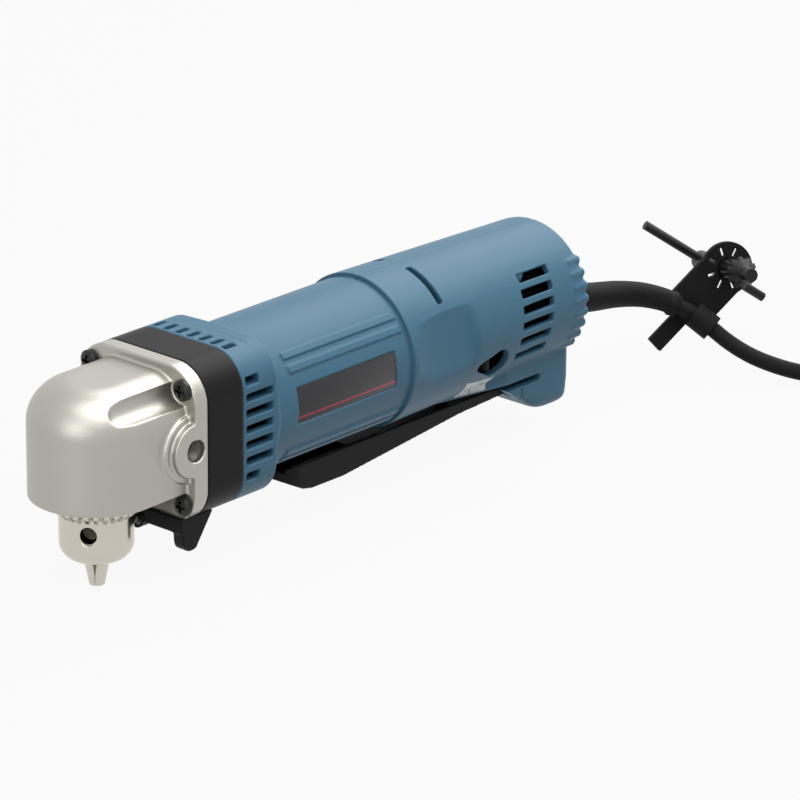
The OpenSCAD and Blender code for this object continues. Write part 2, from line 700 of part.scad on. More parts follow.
// Knuckles round the rear edge, each with a rounded front
module rear_bumps() for (i = [0:7]) rotate([0, 0, 180 - bump_first - rear_rib_pitch * i])
    translate([handle_end_r - bump_in, 0, handle_len - 8]) {
        cylinder(h = 6.6, r = bump_r);
        sphere(bump_r);
        translate([0, 0, 6.5]) cylinder(h = 1.5, r1 = bump_r, r2 = bump_r - 1.3);
    }
module guard_seat() translate(guard_route[0]) aim(guard_route[1] - guard_route[0])
    translate([0, 0, -2]) cylinder(h = 20, r = guard_r + slip_gap);
handle_screw_at = [
    [station(0.1115), motor_z + 0.7 * handle_r], [station(0.653), motor_z + 0.57 * handle_r],
    [station(0.0744), motor_z - 0.67 * handle_r], [heel_end_x - 11, heel_z + 5]
];
screw_tip_y = 0.357 * handle_r;
screw_seat_y = 0.292 * handle_r;
screw_cap_h = 2;
boss_hw = 0.714 * handle_r;
boss_r = 3.6;
handle_screw_r = 1.6;
handle_head_r = 3;
module screw_bosses() for (p = handle_screw_at) rod_y(-boss_hw, boss_hw, boss_r, p[0], p[1]);
module handle_body() difference() {
    union() {
        handle_shell();
        intersection() {
            union() {
                screw_bosses();
                both_sides() block([clamp_x - 4, clamp_x + 4], [4, 12], [0, clamp_z - clamp_h]);
            }
            along_handle() rotate_extrude() handle_profile(1, handle_len - 1);
        }
    }
    for (y = [-clamp_screw_y, clamp_screw_y]) rod_z(clamp_x, y, clamp_z - 14, clamp_z, 1.6);
    for (p = handle_screw_at) rod_y(-screw_tip_y - 1, 40, handle_screw_r + slip_gap, p[0], p[1]);
    for (p = handle_screw_at) rod_y(screw_seat_y, 40, handle_head_r + 0.3, p[0], p[1]);
}
// Window of the reversing lever: a drop shape, its point towards the head
window_r = 5.8;
window_tip_r = 2;
module reverse_window() translate([reverse_x, 0, reverse_z]) rotate([90, 0, 0]) linear_extrude(40) hull() {
    translate([2.5, -0.2]) circle(window_r);
    translate([-8, 0.9]) circle(window_tip_r);
}
module handle_left() color(blue) difference() {
    intersection() {
        handle_body();
        block([handle_x - 1, rear_x + 20], [-60, 0], [-10, 120]);
    }
    reverse_window();
}
module handle_right() color(blue) intersection() {
    handle_body();
    block([handle_x - 1, rear_x + 20], [0, 60], [-10, 120]);
}
module handle_screws() color(steel) for (p = handle_screw_at) {
    rod_y(-screw_tip_y, screw_seat_y, handle_screw_r, p[0], p[1]);
    rod_y(screw_seat_y, screw_seat_y + screw_cap_h, handle_head_r, p[0], p[1]);
}
holder_end_y = 0.747 * handle_r;
brush_w = 4;
brush_h = 6;
module brush_holders() color("#8a6a3a") both_sides() difference() {
    block([commutator_x + 1, commutator_x + 10], [commutator_r + 1.2, holder_end_y],
        [motor_z - brush_h / 2 - 1.4, motor_z + brush_h / 2 + 1.4]);
    block([commutator_x + 5.5 - brush_w / 2 - slip_gap, commutator_x + 5.5 + brush_w / 2 + slip_gap],
        [0, holder_end_y - 2], [motor_z - brush_h / 2 - slip_gap, motor_z + brush_h / 2 + slip_gap]);
}
module carbon_brushes() color("#2c2c2c") both_sides()
    block([commutator_x + 5.5 - brush_w / 2, commutator_x + 5.5 + brush_w / 2],
        [commutator_r + 0.1, holder_end_y - 2.1],
        [motor_z - brush_h / 2, motor_z + brush_h / 2]);

// Switch and its controls
switch_z = [motor_z - 0.747 * handle_r, motor_z - 0.195 * handle_r];
switch_y = [-0.26 * handle_r, 0.357 * handle_r];
module switch_body() color("#3a3a3c") difference() {
    block([station(0.263), station(0.5806)], switch_y, switch_z);
    rod_z(plunger_x, 0, switch_z[0] - 1, switch_z[0] + 8, plunger_r + 0.1);
    rod_z(reverse_x, reverse_y, switch_z[0] - 1, switch_z[1] + 1, 3.2);
    block([reverse_x - 10, reverse_x + 10], [-20, reverse_y + 1], [reverse_z - 4, reverse_z + 4]);
}
lever_floor_z = lever_top_z - 4.2 + lever_wall;
module switch_plunger() color("#d8d4c8")
    rod_z(plunger_x, 0, lever_floor_z + 0.1 + lever_wall - 2.2 + 0.2, switch_z[0] + 6, plunger_r);
knob_reach = 12;
module reversing_lever() color(black) {
    rod_z(reverse_x, reverse_y, reverse_z - 3, reverse_z + 3, 3);
    block([reverse_x - 1.6, reverse_x + 1.6], [reverse_y - knob_reach, reverse_y],
        [reverse_z - 2.5, reverse_z + 2.5]);
    rod_z(reverse_x, reverse_y - knob_reach, reverse_z - 3.4, reverse_z + 3.4, 2.6);
}
lever_low = 10.8;
module lever_side(inset) polygon([
    [lever_front_x + inset, lever_top_z - 0.5 + inset],
    [lever_front_x + 2 + inset, lever_top_z - 4 + inset],
    [lever_front_x + 14 + inset, lever_top_z - lever_low + 0.6 + inset],
    [lever_front_x + 19 + inset, lever_top_z - lever_low - 0.4 + inset],
    [lever_front_x + 36, lever_top_z - lever_low - 0.6 + inset],
    [lever_front_x + 104, lever_top_z - 4.8 + inset],
    [lever_front_x + 127, lever_top_z - 3.9 + inset],
    [lever_pivot_x + 2, lever_top_z - 3.6 + inset],
    [lever_pivot_x + 2, lever_top_z + 2 * inset],
    [lever_front_x + inset, lever_top_z + 2 * inset]
]);
// Where a fixed shape lies, seen from the lever at full stroke
module pressed_back() translate([lever_pivot_x, 0, lever_pivot_z]) rotate([0, -lever_stroke, 0])
    translate([-lever_pivot_x, 0, -lever_pivot_z]) children();
module paddle_lever() color(black) difference() {
    union() {
        intersection() {
            extrude_y(-lever_hw, lever_hw) lever_side(0);
            translate([0, 0, lever_top_z - 30]) linear_extrude(60) {
                translate([lever_front_x + lever_hw, 0]) circle(lever_hw);
                translate([lever_front_x + lever_hw, -lever_hw]) square([lever_len + 20, 2 * lever_hw]);
            }
        }
        rod_y(-lever_hw, lever_hw, 3, lever_pivot_x, lever_pivot_z);
    }
    extrude_y(-lever_hw + lever_wall, lever_hw - lever_wall) lever_side(lever_wall);
    pressed_back() {
        rod_x(collar_end_x, handle_x + 5, barrel_r + free_gap);
        along_handle() rotate_extrude() handle_profile(-free_gap, handle_len - 14);
    }
    rod_y(-40, 40, lever_pin_r + slip_gap, lever_pivot_x, lever_pivot_z);
    block([lock_x - 1, lock_x + lock_len + lock_stroke + 1], [-lock_hw - 0.3, lock_hw + 0.3],
        [-10, lever_top_z]);
}
module lever_pin() color(steel) rod_y(-heel_hw + 3.1, heel_hw - 3.1, lever_pin_r, lever_pivot_x,
    lever_pivot_z);
lock_z = lever_top_z - lever_low - 2.4;
module lock_button() color(black) difference() {
    union() {
        block([lock_x, lock_x + lock_len], [-lock_hw, lock_hw], [lock_z + 1.5, lever_top_z - 3.6]);
        block([lock_x - 2.5, lock_x + lock_len + 1.5], [-lock_hw - 2, lock_hw + 2],
            [lever_top_z - 4.4, lever_top_z - 3]);
        extrude_y(-lock_hw, lock_hw) translate([lock_x + lock_len / 2, lock_z + 4])
            rounded(lock_len / 2, 4, 3.4);
    }
    for (i = [0:5]) rod_y(-20, 20, 0.9, lock_x + 2.5 + i * 2.4, lock_z - 0.2);
}

// Spindle and chuck
module spindle() color(steel) rotate_extrude() polygon([
    [0, chuck_top_z - chuck_seat_depth], [chuck_seat_r, chuck_top_z - chuck_seat_depth],
        [chuck_seat_r, chuck_top_z],
    [spindle_collar_r, chuck_top_z], [spindle_collar_r, lower_bearing_z],
    [spindle_r - run_gap, lower_bearing_z], [spindle_r - run_gap, gear_back_z],
    [spindle_top_r - run_gap, gear_back_z], [spindle_top_r - run_gap, upper_bearing_z + upper_bearing_h],
    [0, upper_bearing_z + upper_bearing_h]
]);
module spindle_lower_bearing() color(steel) translate([0, 0, lower_bearing_z])
    bearing(spindle_r, lower_bearing_r, lower_bearing_h);
module spindle_upper_bearing() color(steel) translate([0, 0, upper_bearing_z])
    bearing(spindle_top_r, upper_bearing_r, upper_bearing_h);

// A straight bevel gear about Z with its pitch cones' tip at the origin and teeth towards +Z
module bevel(teeth, slope, bore, back, turn) {
    function on_cone(h, w, k) = k * [bevel_reach * sin(slope) + h * cos(slope), w,
        bevel_reach * cos(slope) - h * sin(slope)];
    root = on_cone(-bevel_ded, 0, 1);
    inner = on_cone(-bevel_ded, 0, bevel_inner);
    sink = bevel_ded + 0.25;
    rotate_extrude() polygon([[bore, inner[2]], [inner[0], inner[2]], [root[0], root[2]],
        [root[0], back], [bore, back]]);
    for (i = [0:teeth - 1]) rotate([0, 0, turn + 360 * i / teeth]) polyhedron(
        [for (k = [1, bevel_inner]) each [
            on_cone(-sink, -bevel_root_w, k), on_cone(bevel_add, -bevel_tip_w, k),
            on_cone(bevel_add, bevel_tip_w, k), on_cone(-sink, bevel_root_w, k)]],
        [[0, 2, 1], [0, 3, 2], [4, 5, 6], [4, 6, 7], [0, 5, 4], [0, 1, 5], [1, 6, 5], [1, 2, 6],
            [2, 7, 6], [2, 3, 7], [3, 4, 7], [3, 0, 4]]);
}
module bevel_gear() color(iron) translate([0, 0, shaft_z]) rotate([180, 0, 0])
    bevel(bevel_gear_teeth, gear_slope, spindle_top_r, gear_blank_h, 180 / bevel_gear_teeth);
module chuck_body() color(steel) difference() {
    rotate_extrude() difference() {
        intersection() {
            union() {
                translate([0, chuck_mouth_z + chuck_round])
                    square([chuck_r, groove_z - chuck_mouth_z - chuck_round]);
                translate([0, chuck_mouth_z]) square([chuck_r - chuck_round, chuck_round + 1]);
                translate([chuck_r - chuck_round, chuck_mouth_z + chuck_round]) circle(chuck_round);
                translate([0, groove_z - 1]) square([groove_r, groove_h + 2]);
                translate([0, groove_z + groove_h])
                    square([sleeve_bore_r - 0.1, chuck_top_z - groove_z - groove_h]);
            }
            translate([0, chuck_mouth_z]) square([40, 60]);
        }
        translate([0, chuck_mouth_z - 1]) square([chuck_bore_r, 20]);
        translate([0, chuck_top_z - chuck_seat_depth]) square([chuck_seat_r, 40]);
    }
    for (i = [0:2]) jaw_hole(i);
    for (i = [0:2]) rotate([0, 0, chuck_turn + 120 * i]) translate([8, 0, key_hole_z]) rotate([0, 90, 0]) {
        cylinder(h = 20, r = key_hole_r);
        translate([0, 0, chuck_r - 8.9]) cylinder(h = 1.2, r1 = key_hole_r - 0.2, r2 = key_hole_r + 1);
    }
}
module along_jaw(i) rotate([0, 0, jaw_turn + 120 * i]) translate([jaw_offset, 0, 0])
    rotate([0, jaw_tilt, 0]) children();
module jaw_hole(i) along_jaw(i) translate([0, 0, -5]) cylinder(h = 70, r = jaw_r + slip_gap);
module jaw(i) color(steel) intersection() {
    along_jaw(i) translate([0, 0, -2]) cylinder(h = jaw_len + 2, r = jaw_r);
    rotate([0, 0, jaw_turn + 120 * i]) translate([jaw_split, 0, 0]) linear_extrude(60)
        polygon([[0, 0], [30 * cos(60), -30 * sin(60)], [30, 0], [30 * cos(60), 30 * sin(60)]]);
    rotate_extrude() polygon([[0, 0], [jaw_tip_r, 0], [jaw_mouth_r, chuck_mouth_z],
        [20, chuck_mouth_z + 9], [20, 60], [0, 60]]);
}
module jaw_1() jaw(0);
module jaw_2() jaw(1);
module jaw_3() jaw(2);
module chuck_sleeve() color(steel) difference() {
    rotate_extrude() polygon([
        [chuck_r + 0.15, sleeve_low_z], [sleeve_r, sleeve_low_z + 3], [sleeve_r, chuck_top_z - 0.5],
        [sleeve_bore_r, chuck_top_z - 0.5], [sleeve_bore_r, sleeve_step_z], [chuck_r + 0.15, sleeve_step_z]
    ]);
    for (i = [0:sleeve_teeth - 1]) rotate([0, 0, 360 * i / sleeve_teeth])
        translate([chuck_r - 1, 0, sleeve_low_z - 1]) rotate([0, 45, 0]) cylinder(h = 12, r = 0.95);
}
module chuck_nut() color(iron) rotate_extrude() polygon([
    [jaw_offset + groove_z * jaw_slope + jaw_side + 0.2, groove_z + 0.25],
    [sleeve_bore_r - run_gap, groove_z + 0.25], [sleeve_bore_r - run_gap, groove_z + 0.25 + nut_h],
    [jaw_offset + (groove_z + nut_h) * jaw_slope + jaw_side + 0.2, groove_z + 0.25 + nut_h]
]);

// Countershaft with its spur gear and bevel pinion
module countershaft() color(steel) {
    rod_x(bevel_reach * cos(90 - gear_slope) + 1.2, bush_x - 0.8, counter_r - run_gap, 0, shaft_z);
    rod_x(bush_x - 0.9, bush_x + bush_len - 0.2, counter_tail_r - run_gap, 0, shaft_z);
}
module bevel_pinion() color(iron) translate([0, 0, shaft_z]) rotate([0, 90, 0])
    bevel(bevel_pinion_teeth, 90 - gear_slope, 0, bevel_reach * cos(90 - gear_slope) + 1.2, 0);
function spur(teeth, r, add, ded, tip_w, root_w) = [for (i = [0:teeth - 1]) each [
    for (c = [[r - ded, -root_w], [r + add, -tip_w], [r + add, tip_w], [r - ded, root_w]])
        let (a = 360 * i / teeth + c[1] / c[0] * 180 / PI) c[0] * [cos(a), sin(a)]]];
spur_tip_w = 0.25 * spur_module;
spur_root_w = 0.62 * spur_module;
module counter_gear() color(iron) translate([spur_x, 0, shaft_z]) rotate([0, 90, 0]) difference() {
    linear_extrude(spur_w) rotate(180 / gear_teeth)
        polygon(spur(gear_teeth, gear_r, 0.75 * spur_module, 1.15 * spur_module, spur_tip_w, spur_root_w));
    translate([0, 0, -1]) cylinder(h = spur_w + 2, r = counter_r);
}
module counter_bearing() color(steel) translate([counter_bearing_x, 0, shaft_z]) rotate([0, 90, 0])
    bearing(counter_r, counter_bearing_r, counter_bearing_w);
module counter_bush() color("#b08d4f") ring_x(bush_x, bush_x + bush_len, counter_tail_r,
    bush_r - run_gap, shaft_z);

// Armature, on the motor axis
module armature_shaft() color(steel) union() {
    translate([spur_x - 0.5, 0, motor_z]) rotate([0, 90, 0]) linear_extrude(spur_w + 1) rotate(180)
        polygon(spur(pinion_teeth, pinion_r, 0.85 * spur_module, 1.1 * spur_module, spur_tip_w,
            0.5 * spur_module));
    rod_x(spur_x + spur_w + 0.4, rear_bearing_x + rear_bearing_w, motor_shaft_r - run_gap);
}
module armature_core() color(iron) difference() {
    rod_x(stator_x, stator_x + armature_len, armature_r);
    rod_x(stator_x - 1, stator_x + armature_len + 1, motor_shaft_r - run_gap);
    for (i = [0:11]) translate([0, 0, motor_z]) rotate([30 * i, 0, 0])
        block([stator_x - 1, stator_x + armature_len + 1], [-1, 1], [armature_r - 3, armature_r + 1]);
}
module armature_winding() color(copper)
    for (x = [[stator_x - 7, stator_x], [stator_x + armature_len, stator_x + armature_len + 8]])
        translate([x[0], 0, motor_z]) rotate([0, 90, 0]) rotate_extrude() difference() {
            translate([motor_shaft_r - run_gap, 0])
                square([armature_r - 1.5 - motor_shaft_r + run_gap, x[1] - x[0]]);
            translate([armature_r - 1.5, x[0] < stator_x ? 0 : x[1] - x[0]]) circle(2.5);
        }
module commutator() color(copper) difference() {
    ring_x(commutator_x, commutator_x + commutator_len, motor_shaft_r - run_gap, commutator_r);
    for (i = [0:11]) translate([0, 0, motor_z]) rotate([30 * i, 0, 0])
        block([commutator_x - 1, commutator_x + commutator_len + 1], [-0.3, 0.3],
            [commutator_r - 1, commutator_r + 1]);
}
module fan() color("#2d3438") {
    ring_x(fan_x, fan_x + 2, motor_shaft_r - run_gap, fan_r);
    ring_x(fan_x + 1, fan_x + fan_w, motor_shaft_r - run_gap, 7);
    for (i = [0:fan_blades - 1]) translate([0, 0, motor_z]) rotate([360 * i / fan_blades, 0, 0])
        translate([0, 0, -motor_z])
        block([fan_x + 1.5, fan_x + fan_w], [-0.8, 0.8], [motor_z + 13, motor_z + fan_r - 0.5]);
}
module front_bearing() color(steel) translate([front_bearing_x, 0, motor_z]) rotate([0, 90, 0])
    bearing(motor_shaft_r, front_bearing_r, front_bearing_w);
module rear_bearing() color(steel) translate([rear_bearing_x, 0, motor_z]) rotate([0, 90, 0])
    bearing(motor_shaft_r, rear_bearing_r, rear_bearing_w);

// Cord, guard and plug
clamp_x = rear_x - 22;
clamp_z = guard_route[0][2];
clamp_h = 8;
clamp_screw_y = 8;
module cord_clamp() color(black) difference() {
    block([clamp_x - 4, clamp_x + 4], [-12, 12], [clamp_z - clamp_h, clamp_z]);
    rod_x(clamp_x - 9, clamp_x + 9, cord_r - 0.4, 0, clamp_z);
    for (y = [-clamp_screw_y, clamp_screw_y]) rod_z(clamp_x, y, clamp_z - 20, clamp_z + 20, 1.6);
}
module clamp_screws() color(steel) for (y = [-clamp_screw_y, clamp_screw_y]) {
    rod_z(clamp_x, y, clamp_z - 13, clamp_z, 1.55);
    rod_z(clamp_x, y, clamp_z, clamp_z + 2, 3);
}
module cord_guard() color(black) {
    n = len(guard_route);
    tube(guard_route, [for (i = [0:n - 1]) guard_r + (guard_end_r - guard_r) * i / (n - 1)], 12);
}
module cord() color(black) tube(cord_route, [for (p = cord_route) cord_r], 10);

// Put-away coil: in along the lower layer, out again along the upper one
function coil_point(u) =
    let (
        r = coil_in_r + coil_pitch * abs(layer_turns - u),
        s = min(1, max(0, 2 * (u - layer_turns) + 0.5)),
        a = -90 + 360 * u)
    coil_middle + [r * cos(a), r * sin(a), coil_lift * s * s * (3 - 2 * s)];
coil_steps = round(coil_turns * rings_per_turn);
coil_line = [for (i = [0:coil_steps]) coil_point(i * coil_turns / coil_steps)];
coil_tip = coil_line[coil_steps] + coil_end_len * coil_end_way;
coil_path = concat([coil_start], coil_line, [coil_tip]);
coil_gap = min([for (i = [0:len(coil_path) - 1], j = [i + rings_per_turn / 2:len(coil_path) - 1])
    norm(coil_path[i] - coil_path[j])]) - cord_d;
echo(coil_self_gap = coil_gap);
echo(cord_length = path_len(cord_route) + path_len(coil_path));
module cord_coil() color(black) tube(coil_path, [for (p = coil_path) cord_r], 6);

// Tie: a loop round the bundle of turns
tie_turn = -30;
tie_t = 0.9;
tie_w = 5;
module cord_tie() color("#3a3a3a") translate(coil_middle) rotate([0, 0, tie_turn])
    translate([(coil_in_r + coil_out_r) / 2, tie_w / 2, coil_lift / 2]) rotate([90, 0, 0])
        linear_extrude(tie_w) difference() {
        rounded((coil_out_r - coil_in_r) / 2 + cord_r + 0.3 + tie_t,
            coil_lift / 2 + cord_r + 0.1 + tie_t, 4 + tie_t);
        rounded((coil_out_r - coil_in_r) / 2 + cord_r + 0.3, coil_lift / 2 + cord_r + 0.1, 4);
    }
plug_hh = coil_start[2] + coil_lift;
plug_hw = 12;
plug_len = 34;
plug_neck = 14;
module along_plug() translate(coil_tip) rotate([0, 0, coil_end_turn + 90]) children();
module plug() color(black) along_plug() {
    rod_x(0, plug_neck + 1, 5.5, 0, 0);
    translate([plug_neck, 0, 0]) rotate([90, 0, 90]) linear_extrude(plug_len)
        rounded(plug_hw, plug_hh, plug_hh - 1);
}
pin_len = 19;
module plug_pins() color(steel) along_plug() for (s = [-1, 1])
    rod_x(plug_neck + plug_len, plug_neck + plug_len + pin_len, plug_pin_r, s * plug_pin_gap / 2, 0);

// Rubber holder on the cord, with the chuck key pushed through its disc
key_way = unit(key_axis);
strap_line = unit(strap_way - (strap_way * key_way) * key_way);
holder_side = cross(key_way, strap_line);
module at_disc() multmatrix([
    [strap_line[0], holder_side[0], key_way[0], holder_disc[0]],
    [strap_line[1], holder_side[1], key_way[1], holder_disc[1]],
    [strap_line[2], holder_side[2], key_way[2], holder_disc[2]],
    [0, 0, 0, 1]
]) children();
module key_holder() color(black) {
    at_disc() difference() {
        translate([0, 0, -holder_t / 2]) linear_extrude(holder_t) {
            circle(holder_disc_r);
            translate([-24, -holder_disc_r + 0.6]) square([24, 2 * holder_disc_r - 1.2]);
            translate([-strap_len, -strap_hw]) square([strap_len, 2 * strap_hw]);
        }
        translate([0, 0, -9]) cylinder(h = 18, r = key_shank_r + slip_gap);
        for (a = [0:45:315]) rotate([0, 0, a + 20]) translate([key_shank_r + 1.2, -0.7, -9])
            cube([3.6, 1.4, 18]);
    }
    difference() {
        union() {
            translate(loop_at) aim(loop_way) translate([0, 0, -5]) cylinder(h = 10, r = cord_r + 2.2);
            at_disc() block([-28, -21], [-6, 0.4], [0, 6]);
        }
        translate(loop_at) aim(loop_way) translate([0, 0, -9]) cylinder(h = 18, r = cord_r + 0.4);
    }
}
module chuck_key() color("#2a2a2c") at_disc() difference() {
    union() {
        translate([0, 0, -key_back]) cylinder(h = key_back + key_front - 12, r = key_shank_r);
        translate([0, 0, key_front - 16]) cylinder(h = 6, r1 = key_shank_r, r2 = key_gear_r);
        translate([0, 0, key_front - 10]) cylinder(h = 4, r1 = key_gear_r, r2 = key_pilot_r);
        translate([0, 0, key_front - 8]) cylinder(h = 8, r = key_pilot_r);
    }
    for (i = [0:key_teeth - 1]) rotate([0, 0, 360 * i / key_teeth])
        translate([key_gear_r - 0.4, 0, key_front - 17]) cylinder(h = 13, r = 0.9);
    translate([0, 0, -key_back + 4]) rotate([90, 0, bar_turn]) cylinder(h = 40, r = bar_r, center = true);
}
bar_turn = atan2(bar_way * strap_line, -bar_way * holder_side);
module key_bar() color("#2a2a2c") at_disc()
    translate([0, 0, -key_back + 4]) rotate([90, 0, bar_turn])
        cylinder(h = 2 * bar_half, r = bar_r, center = true);

gear_housing();
housing_screws();
bearing_box();
lamp_bracket();
lamp_lens();
motor_housing();
name_plate();
baffle();
stator_core();
field_coils();
handle_left();
handle_right();
handle_screws();
brush_holders();
carbon_brushes();
switch_body();
switch_plunger();
reversing_lever();
paddle_lever();
lever_pin();
lock_button();
spindle();
bevel_gear();
spindle_lower_bearing();
spindle_upper_bearing();
chuck_body();
chuck_sleeve();
chuck_nut();
jaw_1();
jaw_2();
jaw_3();
countershaft();
bevel_pinion();
counter_gear();
counter_bearing();
counter_bush();
armature_shaft();
armature_core();
armature_winding();
commutator();
fan();
front_bearing();
rear_bearing();
cord_clamp();
clamp_screws();
cord_guard();
cord();
cord_coil();
cord_tie();
plug();
plug_pins();
key_holder();
chuck_key();
key_bar();
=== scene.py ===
"""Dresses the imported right-angle drill: cast head, moulded housings, chuck, lever, cord and key."""
import json
import math

import bmesh
import bpy
import numpy as np
from mathutils import Matrix, Vector
from mathutils.bvhtree import BVHTree


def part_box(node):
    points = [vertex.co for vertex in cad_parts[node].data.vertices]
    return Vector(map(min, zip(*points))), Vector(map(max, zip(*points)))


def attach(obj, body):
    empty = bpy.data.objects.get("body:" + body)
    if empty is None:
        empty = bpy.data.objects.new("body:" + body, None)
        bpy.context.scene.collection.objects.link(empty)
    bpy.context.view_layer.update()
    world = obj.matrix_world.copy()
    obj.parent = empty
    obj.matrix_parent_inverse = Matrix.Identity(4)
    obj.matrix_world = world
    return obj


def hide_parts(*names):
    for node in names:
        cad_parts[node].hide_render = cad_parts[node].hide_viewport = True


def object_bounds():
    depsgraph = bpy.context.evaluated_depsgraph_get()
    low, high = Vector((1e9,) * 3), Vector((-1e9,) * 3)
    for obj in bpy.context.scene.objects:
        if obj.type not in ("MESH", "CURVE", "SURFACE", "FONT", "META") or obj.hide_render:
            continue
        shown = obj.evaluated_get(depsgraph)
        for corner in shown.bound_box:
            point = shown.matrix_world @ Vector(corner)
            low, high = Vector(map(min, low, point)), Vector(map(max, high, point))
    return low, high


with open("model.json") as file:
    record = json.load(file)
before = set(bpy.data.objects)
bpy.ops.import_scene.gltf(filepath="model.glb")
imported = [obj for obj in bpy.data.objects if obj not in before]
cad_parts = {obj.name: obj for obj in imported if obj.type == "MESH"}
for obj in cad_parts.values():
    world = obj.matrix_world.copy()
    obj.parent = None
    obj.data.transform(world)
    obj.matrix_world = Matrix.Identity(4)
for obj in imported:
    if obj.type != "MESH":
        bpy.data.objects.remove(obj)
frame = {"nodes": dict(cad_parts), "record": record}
cad_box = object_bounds()
scene = bpy.context.scene
MM = 0.001
nodes = frame["nodes"]
body_of_node = {n: b for b, ns in frame["record"]["behaviour"]["bodies"].items() for n in ns}
slot_of_node = {s["node"]: s["material_slot"] for s in frame["record"]["subparts"]}


def placed(name, data):
    """A new object in the scene."""
    thing = bpy.data.objects.new(name, data)
    scene.collection.objects.link(thing)
    return thing


# Camera at the photograph's viewing angle
CAMERA_EYE = (-1234.8, -1240.37, 730.88)
CAMERA_RIGHT = (0.66489, -0.7469, 0.00765)
CAMERA_UP = (0.25863, 0.23982, 0.93573)
CAMERA_LENS = 232.3
SENSOR_W = 36


def look_camera():
    data = bpy.data.cameras.new("view_camera")
    data.sensor_width = SENSOR_W
    data.sensor_fit = "HORIZONTAL"
    data.lens = CAMERA_LENS
    data.clip_start = 0.1
    data.clip_end = 20
    camera = placed("view_camera", data)
    right = Vector(CAMERA_RIGHT).normalized()
    up = Vector(CAMERA_UP)
    up = (up - up.dot(right) * right).normalized()
    back = right.cross(up)
    basis = Matrix((right, up, back)).transposed().to_4x4()
    camera.matrix_world = Matrix.Translation(Vector(CAMERA_EYE) * MM) @ basis
    scene.camera = camera


look_camera()


# Node tools for materials
def new_material(name):
    material = bpy.data.materials.new(name)
    material.use_nodes = True
    tree = material.node_tree
    shader = tree.nodes["Principled BSDF"]
    return material, tree, shader


def add(tree, kind, **inputs):
    """A new node, with the given values in its inputs."""
    node = tree.nodes.new(kind)
    for key, value in inputs.items():
        node.inputs[key.replace("_", " ")].default_value = value
    return node


def maths(tree, operation, *values):
    """The result of one Math node; each value is a socket or a number."""
    node = tree.nodes.new("ShaderNodeMath")
    node.operation = operation
    for socket, value in zip(node.inputs, values):
        if isinstance(value, (int, float)):
            socket.default_value = value
        else:
            tree.links.new(value, socket)
    return node.outputs[0]


def parts_of(tree, vector):
    """The X, Y and Z sockets of a vector socket."""
    split = tree.nodes.new("ShaderNodeSeparateXYZ")
    tree.links.new(vector, split.inputs[0])
    return split.outputs


def object_place(tree):
    """The X, Y and Z sockets of Object coordinates, in metres."""
    return parts_of(tree, tree.nodes.new("ShaderNodeTexCoord").outputs["Object"])


def mixed(tree, share, first, second):
    """A mix of two shader nodes: the first where the share is 0, the second where it is 1."""
    mix = tree.nodes.new("ShaderNodeMixShader")
    tree.links.new(share, mix.inputs["Fac"])
    tree.links.new(first.outputs[0], mix.inputs[1])
    tree.links.new(second.outputs[0], mix.inputs[2])
    return mix.outputs[0]


def new_group(name, ins, outs):
    group = bpy.data.node_groups.new(name, "ShaderNodeTree")
    for label, kind, value in ins:
        socket = group.interface.new_socket(label, in_out="INPUT", socket_type=kind)
        socket.default_value = value
    for label, kind in outs:
        group.interface.new_socket(label, in_out="OUTPUT", socket_type=kind)
    return group, group.nodes.new("NodeGroupInput"), group.nodes.new("NodeGroupOutput")


# Surface grain: the scale of its broad drift, and the depth of its bump in metres
DRIFT_SCALE = 28.0
GRAIN_DEPTH = 0.0002


def grain_group():
    """Fine moulded or cast grain: a height for bump, with colour and roughness that drift."""
    group, given, out = new_group(
        "surface_grain",
        [
            ("Colour", "NodeSocketColor", (0.5, 0.5, 0.5, 1)),
            ("Grain Scale", "NodeSocketFloat", 900.0),
            ("Drift", "NodeSocketFloat", 0.06),
            ("Roughness", "NodeSocketFloat", 0.4),
            ("Spread", "NodeSocketFloat", 0.06),
        ],
        [("Colour", "NodeSocketColor"), ("Roughness", "NodeSocketFloat"), ("Height", "NodeSocketFloat")],
    )
    link = group.links.new
    place = group.nodes.new("ShaderNodeTexCoord")
    fine = add(group, "ShaderNodeTexNoise", Detail=3.0, Roughness=0.6)
    link(place.outputs["Object"], fine.inputs["Vector"])
    link(given.outputs["Grain Scale"], fine.inputs["Scale"])
    broad = add(group, "ShaderNodeTexNoise", Scale=DRIFT_SCALE, Detail=3.0)
    link(place.outputs["Object"], broad.inputs["Vector"])
    wave = broad.outputs["Fac"]
    drift = given.outputs["Drift"]
    least = maths(group, "MULTIPLY_ADD", drift, -0.5, 1.0)
    shade = group.nodes.new("ShaderNodeHueSaturation")
    link(maths(group, "MULTIPLY_ADD", wave, drift, least), shade.inputs["Value"])
    link(given.outputs["Colour"], shade.inputs["Color"])
    link(shade.outputs["Color"], out.inputs["Colour"])
    rough = maths(group, "MULTIPLY_ADD", wave, given.outputs["Spread"], given.outputs["Roughness"])
    link(rough, out.inputs["Roughness"])
    link(fine.outputs["Fac"], out.inputs["Height"])
    return group


GRAIN = grain_group()


